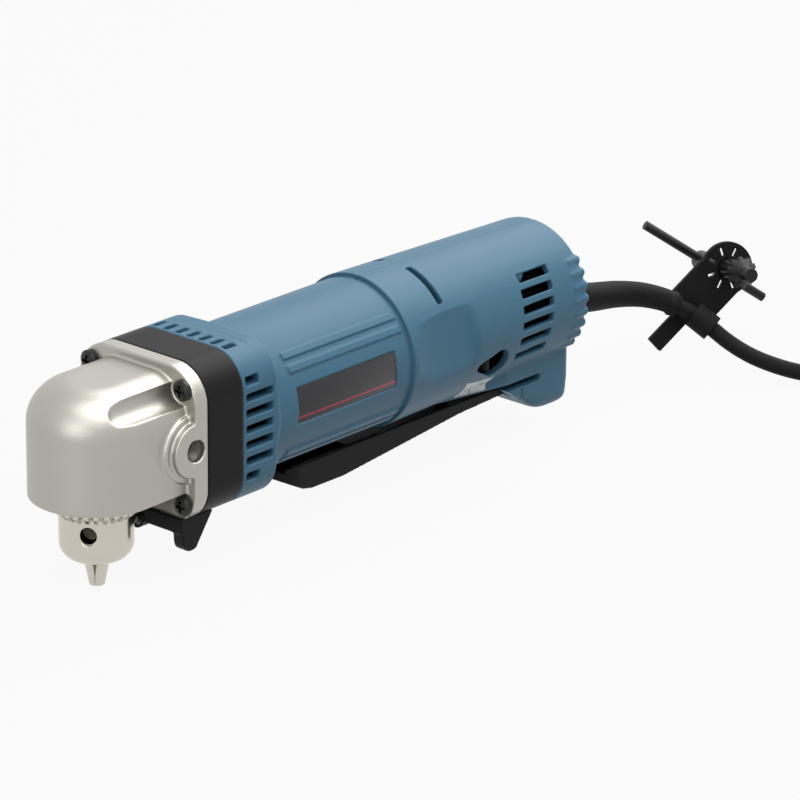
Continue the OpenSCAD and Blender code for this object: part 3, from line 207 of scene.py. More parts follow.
def grained(
    name, colour, rough, scale=900.0, bump=0.1, drift=0.08, metallic=0.0, coat=0.0, specular=0.5
):
    """A material with surface grain."""
    material, tree, shader = new_material(name)
    link = tree.links.new
    grain = add(tree, "ShaderNodeGroup")
    grain.node_tree = GRAIN
    grain.inputs["Colour"].default_value = (*colour, 1)
    grain.inputs["Grain Scale"].default_value = scale
    grain.inputs["Drift"].default_value = drift
    grain.inputs["Roughness"].default_value = rough
    bumps = add(tree, "ShaderNodeBump", Strength=bump, Distance=GRAIN_DEPTH)
    link(grain.outputs["Height"], bumps.inputs["Height"])
    link(grain.outputs["Colour"], shader.inputs["Base Color"])
    link(grain.outputs["Roughness"], shader.inputs["Roughness"])
    link(bumps.outputs["Normal"], shader.inputs["Normal"])
    shader.inputs["Metallic"].default_value = metallic
    shader.inputs["Coat Weight"].default_value = coat
    shader.inputs["Specular IOR Level"].default_value = specular
    return material


# A finish for each material slot
NICKEL = {
    "colour": (0.58, 0.55, 0.48),
    "rough": 0.18,
    "scale": 900,
    "bump": 0.03,
    "drift": 0.03,
    "metallic": 1.0,
}
finish = {
    "cast_alloy": grained(
        "satin_cast_alloy", (0.43, 0.42, 0.38), 0.36, 1100, 0.3, metallic=1.0, drift=0.06
    ),
    "black_screw": grained("black_screw_steel", (0.01, 0.01, 0.01), 0.3, 1200, 0.08, specular=0.35),
    "black_plastic": grained("black_moulding", (0.007, 0.007, 0.008), 0.4, 2200, 0.14, specular=0.12),
    "lens": grained("lamp_glass", (0.02, 0.022, 0.025), 0.06, 600, 0.0, coat=0.6),
    "blue_plastic": grained(
        "blue_moulding", (0.048, 0.138, 0.212), 0.42, 2200, 0.12, drift=0.05, specular=0.28
    ),
    "plate": grained("plate_film", (0.012, 0.012, 0.015), 0.25, 900, 0.03),
    "iron": grained("dark_ground_iron", (0.2, 0.2, 0.2), 0.4, 700, 0.1, metallic=1.0),
    "copper": grained("bright_copper", (0.55, 0.26, 0.13), 0.35, 700, 0.1, metallic=1.0),
    "steel": grained("ground_steel", (0.52, 0.52, 0.52), 0.3, 700, 0.08, metallic=1.0),
    "brass": grained("bright_brass", (0.6, 0.45, 0.2), 0.3, 700, 0.06, metallic=1.0),
    "carbon": grained("carbon_block", (0.02, 0.02, 0.02), 0.6, 700, 0.2),
    "ivory_plastic": grained("ivory_moulding", (0.6, 0.56, 0.45), 0.45, 1500, 0.1),
    "nickel": grained("nickel_plate", **NICKEL),
    "rubber": grained("black_rubber", (0.008, 0.008, 0.008), 0.55, 1800, 0.2, specular=0.1),
    "black_steel": grained("black_oxide_steel", (0.008, 0.008, 0.008), 0.32, 1200, 0.1, specular=0.25),
}

# Finishes with a second colour; the arrows and their divider are measured in shares of the label
CHUCK_BORE_R = 13.1
CHUCK_MOUTH_Z = 18.5
# Painted shade: the dark brown inside the chuck's bore
BORE_SHADE_BROWN = (0.06, 0.05, 0.04)
PLATE_LINE_Z = 50.4
PLATE_LINE_HALF_W = 0.34
PLATE_RED = (0.42, 0.01, 0.06)
ARROW_TIP = 0.38
ARROW_TAIL = 0.18
ARROW_SLOPE = 1.2
DIVIDER_HALF_W = 0.02
PRINT_BLUE = (0.12, 0.2, 0.28)


def tinted(material, mask, colour):
    """Mixes a second colour into a grained material where the mask is 1."""
    tree = material.node_tree
    shader = tree.nodes["Principled BSDF"]
    link = tree.links.new
    before = shader.inputs["Base Color"].links[0].from_socket
    mix = tree.nodes.new("ShaderNodeMix")
    mix.data_type = "RGBA"
    given = {s.name: s for s in mix.inputs if s.enabled}
    link(mask, given["Factor"])
    link(before, given["A"])
    given["B"].default_value = (*colour, 1)
    link(next(s for s in mix.outputs if s.enabled), shader.inputs["Base Color"])
    return material


def chuck_nickel():
    """Nickel plate with painted shade, a dark brown, inside the chuck's bore above its mouth."""
    material = grained("nickel_plate_with_painted_bore_shade", **NICKEL)
    tree = material.node_tree
    place = object_place(tree)
    y_squared = maths(tree, "MULTIPLY", place["Y"], place["Y"])
    across = maths(tree, "SQRT", maths(tree, "MULTIPLY_ADD", place["X"], place["X"], y_squared))
    inside = maths(tree, "LESS_THAN", across, CHUCK_BORE_R * MM)
    above_mouth = maths(tree, "GREATER_THAN", place["Z"], CHUCK_MOUTH_Z * MM)
    return tinted(material, maths(tree, "MULTIPLY", inside, above_mouth), BORE_SHADE_BROWN)


def plate_print():
    """Black plate film with one thin red line above its lower edge."""
    material = grained("plate_film_with_line", (0.011, 0.011, 0.014), 0.25, 900, 0.03, drift=0.1)
    tree = material.node_tree
    height = object_place(tree)["Z"]
    line = maths(tree, "COMPARE", height, PLATE_LINE_Z * MM, PLATE_LINE_HALF_W * MM)
    return tinted(material, line, PLATE_RED)


def label_print():
    """Pale film with two plain arrows, one for each way of turning."""
    material = grained("direction_label_film", (0.72, 0.77, 0.8), 0.4, 1200, 0.03)
    tree = material.node_tree
    uv = tree.nodes.new("ShaderNodeUVMap")
    uv.uv_map = "print"
    place = parts_of(tree, uv.outputs["UV"])
    out = maths(tree, "ABSOLUTE", maths(tree, "SUBTRACT", place["X"], 0.5))
    off = maths(tree, "ABSOLUTE", maths(tree, "SUBTRACT", place["Y"], 0.5))
    slant = maths(tree, "MULTIPLY", maths(tree, "SUBTRACT", ARROW_TIP, out), ARROW_SLOPE)
    within = maths(tree, "LESS_THAN", off, slant)
    past_tail = maths(tree, "GREATER_THAN", out, ARROW_TAIL)
    arrow = maths(tree, "MULTIPLY", within, past_tail)
    divider = maths(tree, "LESS_THAN", out, DIVIDER_HALF_W)
    return tinted(material, maths(tree, "MAXIMUM", arrow, divider), PRINT_BLUE)


# Mesh tools
UV_PER_METRE = 100


def dress(mesh, material):
    mesh.materials.clear()
    mesh.materials.append(material)


def crisp(mesh, degrees):
    """Shades a mesh smooth, but sharp across edges that turn by more than the angle."""
    mesh.shade_smooth()
    mesh.set_sharp_from_angle(angle=math.radians(degrees))


def mesh_from(bm, name, face_out=False):
    """Ends a bmesh as a mesh, with its faces turned outwards where that is asked for."""
    if face_out:
        bmesh.ops.recalc_face_normals(bm, faces=bm.faces)
    mesh = bpy.data.meshes.new(name)
    bm.to_mesh(mesh)
    bm.free()
    return mesh


def keep(name, mesh, body, slot, *stands_for):
    """Adds a finished mesh as a piece that rides on a body and stands for CAD nodes."""
    piece = placed(name, mesh)
    dress(mesh, finish[slot])
    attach(piece, body)
    if stands_for:
        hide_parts(*stands_for)
    return piece


def stand_in(name, mesh, node):
    """Keeps a mesh in place of one CAD node, with that node's body and slot."""
    return keep(name, mesh, body_of_node[node], slot_of_node[node], node)


def smooth_line(points, steps):
    """A smooth curve through points, with the same number of steps in each stretch."""
    points = [Vector(p) for p in points]
    line = []
    for i in range(len(points) - 1):
        a = points[max(i - 1, 0)]
        b, c = points[i], points[i + 1]
        d = points[min(i + 2, len(points) - 1)]
        for k in range(steps):
            t = k / steps
            slope = (c - a) * t
            bend = (2 * a - 5 * b + 4 * c - d) * t**2
            twist = (3 * b - a - 3 * c + d) * t**3
            line.append(0.5 * (2 * b + slope + bend + twist))
    line.append(points[-1])
    return line


def tube_mesh(name, line, radii, sides):
    """A closed round tube along a line, with a UV map that runs along it."""
    bm = bmesh.new()
    uv = bm.loops.layers.uv.new("along")
    rings = []
    travelled = 0.0
    side = None
    for i, point in enumerate(line):
        ahead = (line[min(i + 1, len(line) - 1)] - line[max(i - 1, 0)]).normalized()
        if side is None:
            side = ahead.cross(Vector((0, 0, 1))).normalized()
        side = (side - side.dot(ahead) * ahead).normalized()
        up = side.cross(ahead)
        ring = []
        for k in range(sides):
            turn = math.tau * k / sides
            offset = radii[i] * (math.cos(turn) * side + math.sin(turn) * up)
            ring.append(bm.verts.new(point + offset))
        if i:
            travelled += (point - line[i - 1]).length
        rings.append((ring, travelled))
    for (low, u0), (high, u1) in zip(rings, rings[1:]):
        for k in range(sides):
            n = (k + 1) % sides
            face = bm.faces.new((low[k], low[n], high[n], high[k]))
            face.smooth = True
            for loop, (u, v) in zip(face.loops, ((u0, k), (u0, k + 1), (u1, k + 1), (u1, k))):
                loop[uv].uv = (u * UV_PER_METRE, v / sides)
    bm.faces.new(list(reversed(rings[0][0])))
    bm.faces.new(rings[-1][0])
    return mesh_from(bm, name, face_out=True)


def run_length(line):
    return sum((b - a).length for a, b in zip(line, line[1:]))


def skin_of(mesh):
    """A tree for casting rays at a mesh."""
    return BVHTree.FromPolygons(
        [v.co for v in mesh.vertices], [tuple(p.vertices) for p in mesh.polygons]
    )


# Shells: the CAD solids with cast and moulded edges
JOINED_WITHIN = 0.002


def cad_copy(name, node):
    """A copy of a CAD node's mesh with its loose triangles joined."""
    bm = bmesh.new()
    bm.from_mesh(nodes[node].data)
    bmesh.ops.remove_doubles(bm, verts=bm.verts, dist=JOINED_WITHIN * MM)
    return mesh_from(bm, name)


def shaped(mesh, *steps):
    """The mesh after modifiers, each given as its kind and settings."""
    holder = placed("shaping", mesh)
    for kind, settings in steps:
        step = holder.modifiers.new(kind.lower(), kind)
        for key, value in settings.items():
            setattr(step, key, value)
    graph = bpy.context.evaluated_depsgraph_get()
    result = bpy.data.meshes.new_from_object(holder.evaluated_get(graph))
    bpy.data.objects.remove(holder)
    result.name = mesh.name
    return result


def remesh(grid):
    return "REMESH", {"mode": "VOXEL", "voxel_size": grid * MM}


def smooth(rounds):
    return "SMOOTH", {"factor": 0.5, "iterations": rounds}


def thin_out(kept):
    return "DECIMATE", {"ratio": kept}


def cut_away(mesh, tool, solver):
    """The mesh without what lies inside a tool, which is a mesh too."""
    cutter = placed("cutter", tool)
    result = shaped(mesh, ("BOOLEAN", {"object": cutter, "operation": "DIFFERENCE", "solver": solver}))
    bpy.data.objects.remove(cutter)
    return result


def soft_edged(mesh, grid, rounds, kept):
    """An even skin over the mesh whose edges are rounded by smoothing."""
    result = shaped(mesh, remesh(grid), smooth(rounds), thin_out(kept))
    result.shade_smooth()
    return result


def shell(name, node, grid, rounds, kept=1.0):
    """A cast or moulded piece: one CAD node with soft edges, on a grid in mm."""
    return stand_in(name, soft_edged(cad_copy(name, node), grid, rounds, kept), node)


def ground(name, node, edge, broken_from=38, sharp_from=32):
    """A turned or ground piece: crisp faces with a narrow edge broken from an angle in degrees."""
    bevel = {
        "width": edge * MM,
        "segments": 2,
        "limit_method": "ANGLE",
        "angle_limit": math.radians(broken_from),
    }
    mesh = shaped(cad_copy(name, node), ("BEVEL", bevel))
    crisp(mesh, sharp_from)
    return stand_in(name, mesh, node)


# Cord from the guard to the plug, with its spare length in a coil
CORD_R = 3.3
CORD_SIDES = 12
CORD_STEPS = 4
CORD_ROUTE = [
    (323, -12, 26.4), (325, -14, 25), (328.2, -18, 22), (331, -24, 17.4), (333, -32, 12.6),
    (335.4, -42, 8.6), (339, -54, 5.9), (343.6, -66, 4.7), (350.5, -81.5, 4.3), (361.5, -96.5, 4.3),
    (377.5, -107.8, 4.3), (397, -112.6, 4.3), (416, -112.6, 4.3), (434.4, -112.6, 4.3),
]
COIL_IN_R = 26.5
COIL_PITCH = 7.2
COIL_LIFT = 7.2
COIL_MIDDLE = Vector((441, -60, 4.3))
COIL_END = 24
LAYER_TURNS = 3.625
TURN_STEPS = 32


def coil_point(turns):
    """A place on the coil, which winds inwards in its lower layer and outwards in its upper one."""
    radius = COIL_IN_R + COIL_PITCH * abs(LAYER_TURNS - turns)
    climb = min(1, max(0, 2 * (turns - LAYER_TURNS) + 0.5))
    angle = math.tau * (turns - 0.25)
    rise = COIL_LIFT * climb * climb * (3 - 2 * climb)
    return COIL_MIDDLE + Vector((radius * math.cos(angle), radius * math.sin(angle), rise))


def cord_line():
    line = smooth_line(CORD_ROUTE, CORD_STEPS)
    steps = round(2 * LAYER_TURNS * TURN_STEPS)
    line += [coil_point(2 * LAYER_TURNS * i / steps) for i in range(steps + 1)]
    last = line[-1]
    line += [last + Vector((0, COIL_END * k / CORD_STEPS, 0)) for k in range(1, CORD_STEPS + 1)]
    return [p * MM for p in line]


def make_cord(carried):
    """The cord; the pieces that hang on it come in as carried, which is not used."""
    line = cord_line()
    mesh = tube_mesh("power_cord", line, [CORD_R * MM] * len(line), CORD_SIDES)
    piece = keep("power_cord", mesh, "housing", "rubber", "cord", "cord_coil")


make_cord(
    [
        shell("plug_body", "plug", 0.5, 4),
        ground("plug_prongs", "plug_pins", 0.6),
        shell("coil_tie", "cord_tie", 0.4, 2),
        shell("key_strap", "key_holder", 0.24, 3),
        shell("pinion_key", "chuck_key", 0.2, 2),
        ground("key_handle", "key_bar", 0.5),
    ]
)


# Gear head, with threads in its two handle holes
THREAD_CREST_R = 3.3
THREAD_ROOT_R = 3.95
THREAD_SEAT_R = 4.15
THREAD_OVERLAP = 0.1
THREAD_PITCH = 1.25
THREAD_INSET = 0.5
THREAD_SIDES = 48
THREAD_ROWS = 90
CUT_BEYOND = 8
handle_holes = [m for m in frame["record"]["mounts"] if m["kind"] == "threaded_hole"]
# A darker alloy for the threads inside the handle holes
tapped_alloy = grained("darkened_tapped_alloy", (0.13, 0.125, 0.11), 0.4, 900, 0.05, metallic=1.0)


def hole_mouth(hole):
    """Where a handle hole opens: a mount names the middle of its hole."""
    way = Vector(hole["axis"]).normalized()
    return Vector(hole["pos_m"]) + way * hole["dims"]["length_mm"] / 2 * MM


def gear_head():
    """The cast head, with its two handle holes opened to take their threads."""
    mesh = cad_copy("gear_head", "gear_housing")
    for hole in handle_holes:
        way = Vector(hole["axis"])
        mouth = hole_mouth(hole)
        depth = hole["dims"]["length_mm"] * MM
        line = [mouth + way * CUT_BEYOND * MM, mouth - way * depth]
        rod = tube_mesh("hole_rod", line, [THREAD_SEAT_R * MM] * 2, THREAD_SIDES)
        mesh = cut_away(mesh, rod, "EXACT")
    mesh = soft_edged(mesh, 0.42, 7, 0.5)
    mesh.name = "gear_head"
    return keep("gear_head", mesh, "housing", "cast_alloy", "gear_housing")


def thread_ring(name, hole):
    """A ring with a helical thread on its inside, seated in a handle hole."""
    way = Vector(hole["axis"]).normalized()
    mouth = hole_mouth(hole) - way * THREAD_INSET * MM
    depth = (hole["dims"]["length_mm"] - THREAD_INSET) * MM
    side = way.orthogonal().normalized()
    up = way.cross(side)
    sides, rows = THREAD_SIDES, THREAD_ROWS
    bm = bmesh.new()
    inner, outer = [], []
    for j in range(rows + 1):
        along = depth * j / rows
        inner.append([])
        outer.append([])
        for k in range(sides):
            wave = (along / (THREAD_PITCH * MM) + k / sides) % 1.0
            tooth = abs(2 * wave - 1)
            radius = THREAD_CREST_R + (THREAD_ROOT_R - THREAD_CREST_R) * tooth
            turn = math.tau * k / sides
            spoke = math.cos(turn) * side + math.sin(turn) * up
            middle = mouth - way * along
            inner[-1].append(bm.verts.new(middle + spoke * radius * MM))
            if j in (0, rows):
                outer[-1].append(bm.verts.new(middle + spoke * (THREAD_SEAT_R + THREAD_OVERLAP) * MM))
    for k in range(sides):
        n = (k + 1) % sides
        for j in range(rows):
            bm.faces.new((inner[j][k], inner[j][n], inner[j + 1][n], inner[j + 1][k]))
        bm.faces.new((inner[0][k], outer[0][k], outer[0][n], inner[0][n]))
        bm.faces.new((inner[rows][n], outer[rows][n], outer[rows][k], inner[rows][k]))
        bm.faces.new((outer[0][n], outer[0][k], outer[rows][k], outer[rows][n]))
    mesh = mesh_from(bm, name, face_out=True)
    crisp(mesh, 50)
    keep(name, mesh, "housing", "cast_alloy")
    dress(mesh, tapped_alloy)


gear_head()
for hole in handle_holes:
    thread_ring(hole["name"].replace("side_handle", "handle_thread"), hole)

# Bearing box, lamp piece, barrel, levers and chuck
shell("bearing_ring", "bearing_box", 0.5, 2, 0.35)
shell("lamp_piece", "lamp_bracket", 0.36, 4)
shell("motor_shell", "motor_housing", 0.4, 2, 0.3)
shell("switch_paddle", "paddle_lever", 0.32, 14, 0.5)
shell("lock_slider", "lock_button", 0.3, 3)
shell("reverse_knob", "reversing_lever", 0.25, 3)
chuck_barrel = ground("chuck_barrel", "chuck_body", 0.25)
# Nickel with painted shade inside the chuck's bore
dress(chuck_barrel.data, chuck_nickel())
ground("chuck_ring", "chuck_sleeve", 0.15)
for number in (1, 2, 3):
    ground(f"chuck_jaw_{number}", f"jaw_{number}", 0.12)


# Handle: both halves are smoothed as one, so that the hollows and the heel blend in, and then parted
GRIP_GRID = 0.38
GRIP_KEPT = 0.38
GRIP_BOX_X = (100, 300)
GRIP_BOX_Y = 60
GRIP_BOX_Z = (-20, 120)
HALVES_OVERLAP = 0.05

# Each pair is where blending starts and where it is full
HEEL_X = (203, 207)
HEEL_Z = (19, 15.5)
HOLLOW_FRONT_X = (142.5, 145)
HOLLOW_REAR_X = (182, 178)
HOLLOW_TOP_Z = (69, 66)
HOLLOW_LOW_Z = (36, 40)
HOLLOW_Y = (12, 16)
KNUCKLE_X = (238, 241)
KNUCKLE_Z = (30, 34)
HOLLOW_SHARE = 0.6
KNUCKLE_SHARE = 0.08
BLEND_ROUNDS = 160
BLEND_PULL = 0.5
BLEND_CLEAR = 0.05

HEEL_GROOVE_X = (216.6, 217.5)
HEEL_GROOVE_Y = (17.3, 40)
HEEL_GROOVE_Z = (0, 21.4)
SEAM_HALF_W = 0.6
SEAM_DEEP = 0.55
SEAM_CLEAR = 0.3
SEAM_LEAST_OUT = 0.3


def ramp(values, start, end):
    """Rises smoothly from 0 at start to 1 at end."""
    t = np.clip((values - start) / (end - start), 0, 1)
    return t * t * (3 - 2 * t)


def grip_blend(places):
    """How much each place, in mm, is blended: the heel's sole, the thumb hollows and the knuckles."""
    x, y, z = places[:, 0], np.abs(places[:, 1]), places[:, 2]
    heel = ramp(x, *HEEL_X) * ramp(z, *HEEL_Z)
    hollow = ramp(x, *HOLLOW_FRONT_X) * ramp(x, *HOLLOW_REAR_X)
    hollow = hollow * ramp(z, *HOLLOW_TOP_Z) * ramp(z, *HOLLOW_LOW_Z) * ramp(y, *HOLLOW_Y)
    knuckles = ramp(x, *KNUCKLE_X) * ramp(z, *KNUCKLE_Z)
    return np.maximum(heel, np.maximum(HOLLOW_SHARE * hollow, KNUCKLE_SHARE * knuckles))


def blend(mesh, weight_of, rounds):
    """Relaxes the outer points of a mesh towards their neighbours, as much as weight_of says."""
    places = np.empty(len(mesh.vertices) * 3)
    mesh.vertices.foreach_get("co", places)
    places = places.reshape(-1, 3)
    weight = weight_of(places / MM)
    skin = skin_of(mesh)
    for i in np.flatnonzero(weight):
        vert = mesh.vertices[int(i)]
        if skin.ray_cast(vert.co + vert.normal * BLEND_CLEAR * MM, vert.normal)[0] is not None:
            weight[i] = 0
    moving = np.flatnonzero(weight)
    pairs = np.empty(len(mesh.edges) * 2, dtype=np.int64)
    mesh.edges.foreach_get("vertices", pairs)
    pairs = pairs.reshape(-1, 2)
    pairs = np.concatenate((pairs, pairs[:, ::-1]))
    pairs = pairs[weight[pairs[:, 0]] > 0]
    row = np.searchsorted(moving, pairs[:, 0])
    degree = np.bincount(row, minlength=len(moving))[:, None]
    pull = BLEND_PULL * weight[moving][:, None]
    for _ in range(rounds):
        near = places[pairs[:, 1]]
        total = np.stack([np.bincount(row, near[:, k], len(moving)) for k in range(3)], axis=1)
        places[moving] += pull * (total / degree - places[moving])
    mesh.vertices.foreach_set("co", places.ravel())
    mesh.update()


def cut_box(mesh, low, high):
    """The mesh without what lies in a box, given by two corners in mm."""
    low, high = Vector(low) * MM, Vector(high) * MM
    bm = bmesh.new()
    bmesh.ops.create_cube(bm, size=1)
    for vert in bm.verts:
        vert.co = Vector((low[i] + high[i]) / 2 + vert.co[i] * (high[i] - low[i]) for i in range(3))
    return cut_away(mesh, mesh_from(bm, "box_cutter"), "MANIFOLD")


def open_seam(half):
    """Draws the outer edge of a handle half in along the seam, for a fine groove between the halves."""
    skin = skin_of(half)
    shifts = []
    for vert in half.vertices:
        off = abs(vert.co.y) / MM
        if off >= SEAM_HALF_W:
            continue
        out = Vector((vert.normal.x, 0, vert.normal.z))
        if out.length < SEAM_LEAST_OUT:
            continue
        out.normalize()
        if skin.ray_cast(vert.co + out * SEAM_CLEAR * MM, out)[0] is None:
            shifts.append((vert, out * SEAM_DEEP * (1 - off / SEAM_HALF_W) * MM))
    for vert, shift in shifts:
        vert.co -= shift
    half.update()


def grips():
    """Makes both handle halves and returns the left one, which carries the label."""
    bm = bmesh.new()
    for node, shift in (("handle_left", HALVES_OVERLAP), ("handle_right", -HALVES_OVERLAP)):
        half = cad_copy(node, node)
        half.transform(Matrix.Translation((0, shift * MM, 0)))
        bm.from_mesh(half)
    mesh = shaped(mesh_from(bm, "both_grips"), remesh(GRIP_GRID), smooth(1))
    blend(mesh, grip_blend, BLEND_ROUNDS)
    (x0, x1), (near, far), (z0, z1) = HEEL_GROOVE_X, HEEL_GROOVE_Y, HEEL_GROOVE_Z
    for y0, y1 in ((-far, -near), (near, far)):
        mesh = cut_box(mesh, (x0, y0, z0), (x1, y1, z1))
    (x0, x1), (z0, z1) = GRIP_BOX_X, GRIP_BOX_Z
    pieces = []
    for side, y0, y1 in (("left", 0, GRIP_BOX_Y), ("right", -GRIP_BOX_Y, 0)):
        half = cut_box(mesh.copy(), (x0, y0, z0), (x1, y1, z1))
        open_seam(half)
        half = shaped(half, smooth(1), thin_out(GRIP_KEPT))
        half.shade_smooth()
        half.name = f"grip_{side}"
        pieces.append(stand_in(f"grip_{side}", half, f"handle_{side}"))
    return pieces[0]


# Painted shade: near-black sheets behind the handle's vents, to darken what shows through them
SHADE_SHEET_X = (203, 231)
SHADE_SHEET_R = (24.8, 24.2)
SHADE_SHEET_T = 0.6
SHADE_SHEET_TURN = (42, 128)
SHADE_SHEET_STEPS = 20
AXIS_Z = 53
# Painted shade: a near-black, barely glossy finish for the sheets behind the vents
painted_vent_shade = grained("painted_vent_shade", (0.003, 0.003, 0.003), 0.9, 1500, 0.3, specular=0.03)


def vent_shade_sheet(name, side):
    """A thin near-black curved sheet behind the vents of one side, which is -1 for left and 1 for right:
    painted shade for the vents.
    """
    bm = bmesh.new()
    first, last = SHADE_SHEET_TURN
    rings = []
    for x, radius in zip(SHADE_SHEET_X, SHADE_SHEET_R):
        for reach in (radius, radius - SHADE_SHEET_T):
            ring = []
            for k in range(SHADE_SHEET_STEPS + 1):
                turn = math.radians(first + (last - first) * k / SHADE_SHEET_STEPS)
                place = Vector((x, side * reach * math.sin(turn), AXIS_Z + reach * math.cos(turn)))
                ring.append(bm.verts.new(place * MM))
            rings.append(ring)
    loop = (rings[0], rings[2], rings[3], rings[1])
    for a, b in zip(loop, loop[1:] + loop[:1]):
        for k in range(SHADE_SHEET_STEPS):
            bm.faces.new((a[k], a[k + 1], b[k + 1], b[k]))
    for k in (0, SHADE_SHEET_STEPS):
        bm.faces.new([ring[k] for ring in loop])
    mesh = mesh_from(bm, name, face_out=True)
    crisp(mesh, 40)
    keep(name, mesh, "housing", "carbon")
    dress(mesh, painted_vent_shade)


grip_left = grips()
# Painted shade behind the vents on both sides
vent_shade_sheet("vent_shade_sheet_left", -1)
vent_shade_sheet("vent_shade_sheet_right", 1)


# Printed films: the plate on the barrel and the direction label below the reversing knob
LABEL_CORNERS = ((181.5, -14.5, 25.8), (197, -17.4, 25.9), (197.4, -21, 32.2), (178.2, -24.2, 35.2))
LABEL_FACING = (0, -0.71, -0.7)
LABEL_STEPS = (16, 8)
LABEL_T = 0.12
LABEL_START = 12


def direction_label(carrier):
    """A thin film laid on the handle's lower flank, cast onto it from outside near the given corners."""
    corners = [Vector(p) for p in LABEL_CORNERS]
    facing = Vector(LABEL_FACING).normalized()
    bm = bmesh.new()
    uv = bm.loops.layers.uv.new("print")
    across, up = LABEL_STEPS
    top, low = {}, {}
    for i in range(across + 1):
        for j in range(up + 1):
            lower = corners[0].lerp(corners[1], i / across)
            upper = corners[3].lerp(corners[2], i / across)
            start = (lower.lerp(upper, j / up) + LABEL_START * facing) * MM
            _, point, normal, _ = carrier.ray_cast(start, -facing)
            for layer, lift in ((top, LABEL_T), (low, -LABEL_T)):
                layer[i, j] = bm.verts.new(point + normal * lift * MM)

    def panel(verts, places):
        face = bm.faces.new(verts)
        face.smooth = True
        for loop, (i, j) in zip(face.loops, places):
            loop[uv].uv = (i / across, j / up)

    for i in range(across):
        for j in range(up):
            ring = [(i, j), (i + 1, j), (i + 1, j + 1), (i, j + 1)]
            panel([top[p] for p in ring], ring)
            panel([low[p] for p in reversed(ring)], list(reversed(ring)))
    rim = [(i, 0) for i in range(across)] + [(across, j) for j in range(up)]
    rim += [(i, up) for i in range(across, 0, -1)] + [(0, j) for j in range(up, 0, -1)]
    for p, q in zip(rim, rim[1:] + rim[:1]):
        panel([top[q], top[p], low[p], low[q]], [q, p, p, q])
    mesh = mesh_from(bm, "direction_label", face_out=True)
    keep("direction_label", mesh, "housing", slot_of_node["name_plate"])
    dress(mesh, label_print())


plate_film = ground("plate_film", "name_plate", 0.12, broken_from=50, sharp_from=30)
dress(plate_film.data, plate_print())
direction_label(grip_left)


# Screws: one tree makes every pan head screw, with its details as shares of the head or the shank
RIM_HIGH = 0.55
DOME_Z = 0.5
DOME_SCALE = (0.985, 0.985, 0.33)
SHANK_Z = -0.49
CROSS_LONG = 1.15
CROSS_WIDE = 0.3
HEAD_SIDES = 40
HEAD_RINGS = 20
SHANK_SIDES = 24

# Radius and length of heads and shanks
HEAD_SCREW = (4.0, 2.6)
HEAD_SHANK_R = 2.0
HANDLE_SCREW = (3.0, 2.0)
HANDLE_SHANK = (1.6, 20)


def solids_of(node):
    """The box of each loose solid in a CAD node, in the order of their points."""
    bm = bmesh.new()
    bm.from_mesh(cad_copy(node, node))
    left = set(bm.verts)
    boxes = []
    for first in bm.verts:
        if first not in left:
            continue
        left.remove(first)
        reach = [first]
        solid = []
        while reach:
            vert = reach.pop()
            solid.append(vert.co.copy())
            for edge in vert.link_edges:
                other = edge.other_vert(vert)
                if other in left:
                    left.remove(other)
                    reach.append(other)
        low = Vector(min(v[i] for v in solid) for i in range(3))
        high = Vector(max(v[i] for v in solid) for i in range(3))
        boxes.append((low, high))
    bm.free()
    return boxes


